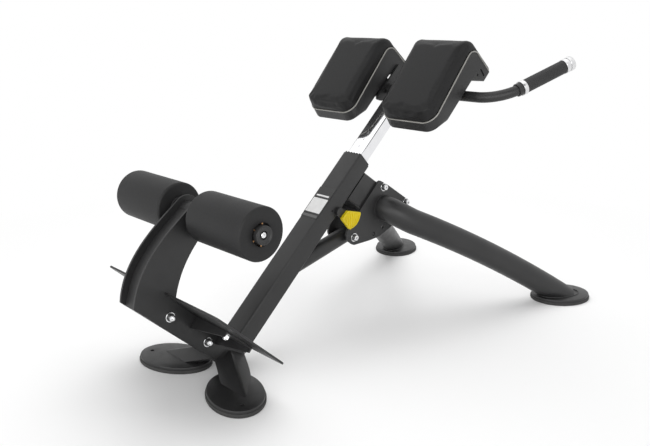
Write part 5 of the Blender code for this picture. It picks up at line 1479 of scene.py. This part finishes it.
def paleFloor():
    half = (stageSizes["floor"], stageSizes["floor"])
    obj, tree, shader = rectangle("floor", "paleFloor", half, stageSizes["floorColour"])
    setInputs(tree, shader, {"Specular IOR Level": 0.0})
    # white far out, so the floor has no visible end, and a little grey round the bench
    length = addNode(tree, "ShaderNodeVectorMath", {0: objectCoords(tree)}, operation="LENGTH")
    distance = length.outputs["Value"]
    radii = stageSizes["nearRadius"], stageSizes["farRadius"]
    far = ranged(tree, distance, stageSizes["nearShare"], 1.0, *radii)
    glow = addNode(tree, "ShaderNodeEmission", {
        "Strength": ranged(tree, distance, stageSizes["nearGlow"], 1.0, *radii),
    })
    share = mathNode(tree, "MULTIPLY", raysOf(tree, "Is Camera Ray", "Is Glossy Ray"), far)
    values = {"Fac": share, 1: shader.outputs["BSDF"], 2: glow.outputs["Emission"]}
    mix = addNode(tree, "ShaderNodeMixShader", values)
    setInputs(tree, tree.nodes["Material Output"], {"Surface": mix.outputs["Shader"]})
    return obj


def darkCard():
    # hangs above the camera, only metal shows it
    turn = aimed(stageSizes["cardPlace"], stageSizes["cardAim"], "Z").to_matrix().to_4x4()
    at = Matrix.Translation(stageSizes["cardPlace"]) @ turn
    obj = rectangle("darkCard", "darkCard", stageSizes["cardHalf"], stageSizes["cardColour"], at)[0]
    for ray in ("visible_camera", "visible_diffuse", "visible_shadow", "visible_transmission"):
        setattr(obj, ray, False)


def studioWorld():
    made = bpy.data.worlds.new("studio")
    made.use_nodes = True
    bpy.context.scene.world = made
    tree = made.node_tree
    seen = raysOf(tree, "Is Camera Ray", "Is Glossy Ray", "Is Transmission Ray")
    values = {"Color": (1, 1, 1, 1), "Strength": ranged(tree, seen, stageSizes["world"], 1.0, 0.0, 1.0)}
    setInputs(tree, tree.nodes["Background"], values)


def areaLamp(name, place, aim, size, power):
    light = bpy.data.lights.new(name, "AREA")
    light.shape = "RECTANGLE"
    light.size, light.size_y = size
    light.energy = power
    obj = shown(name, light)
    obj.location = place
    obj.rotation_euler = aimed(place, aim, "-Z").to_euler()
    return obj


def mainCamera():
    heading, down = math.radians(view["heading"]), math.radians(view["down"])
    level = Vector((math.cos(heading), math.sin(heading), 0))
    forward = math.cos(down) * level - Vector((0, 0, math.sin(down)))
    right = Vector((level.y, -level.x, 0))
    camera = bpy.data.cameras.new("camera")
    camera.sensor_fit = "HORIZONTAL"
    camera.sensor_width = 36.0
    camera.lens = view["lens"]
    camera.clip_end = view["far"]
    obj = shown("camera", camera)
    turn = Matrix((right, right.cross(forward), -forward)).transposed()
    obj.matrix_world = Matrix.Translation(view["place"]) @ turn.to_4x4()
    bpy.context.scene.camera = obj


floor = paleFloor()
studioWorld()
for name, sizes in lamps.items():
    lamp = areaLamp(name, *sizes)
# the last lamp lights the floor alone, from above, so the shadows read
lit = bpy.data.collections.new("floorOnly")
lit.objects.link(floor)
lamp.light_linking.receiver_collection = lit
darkCard()
mainCamera()
bpy.context.scene.view_settings.view_transform = "Standard"
print("stage: floor, light and camera")
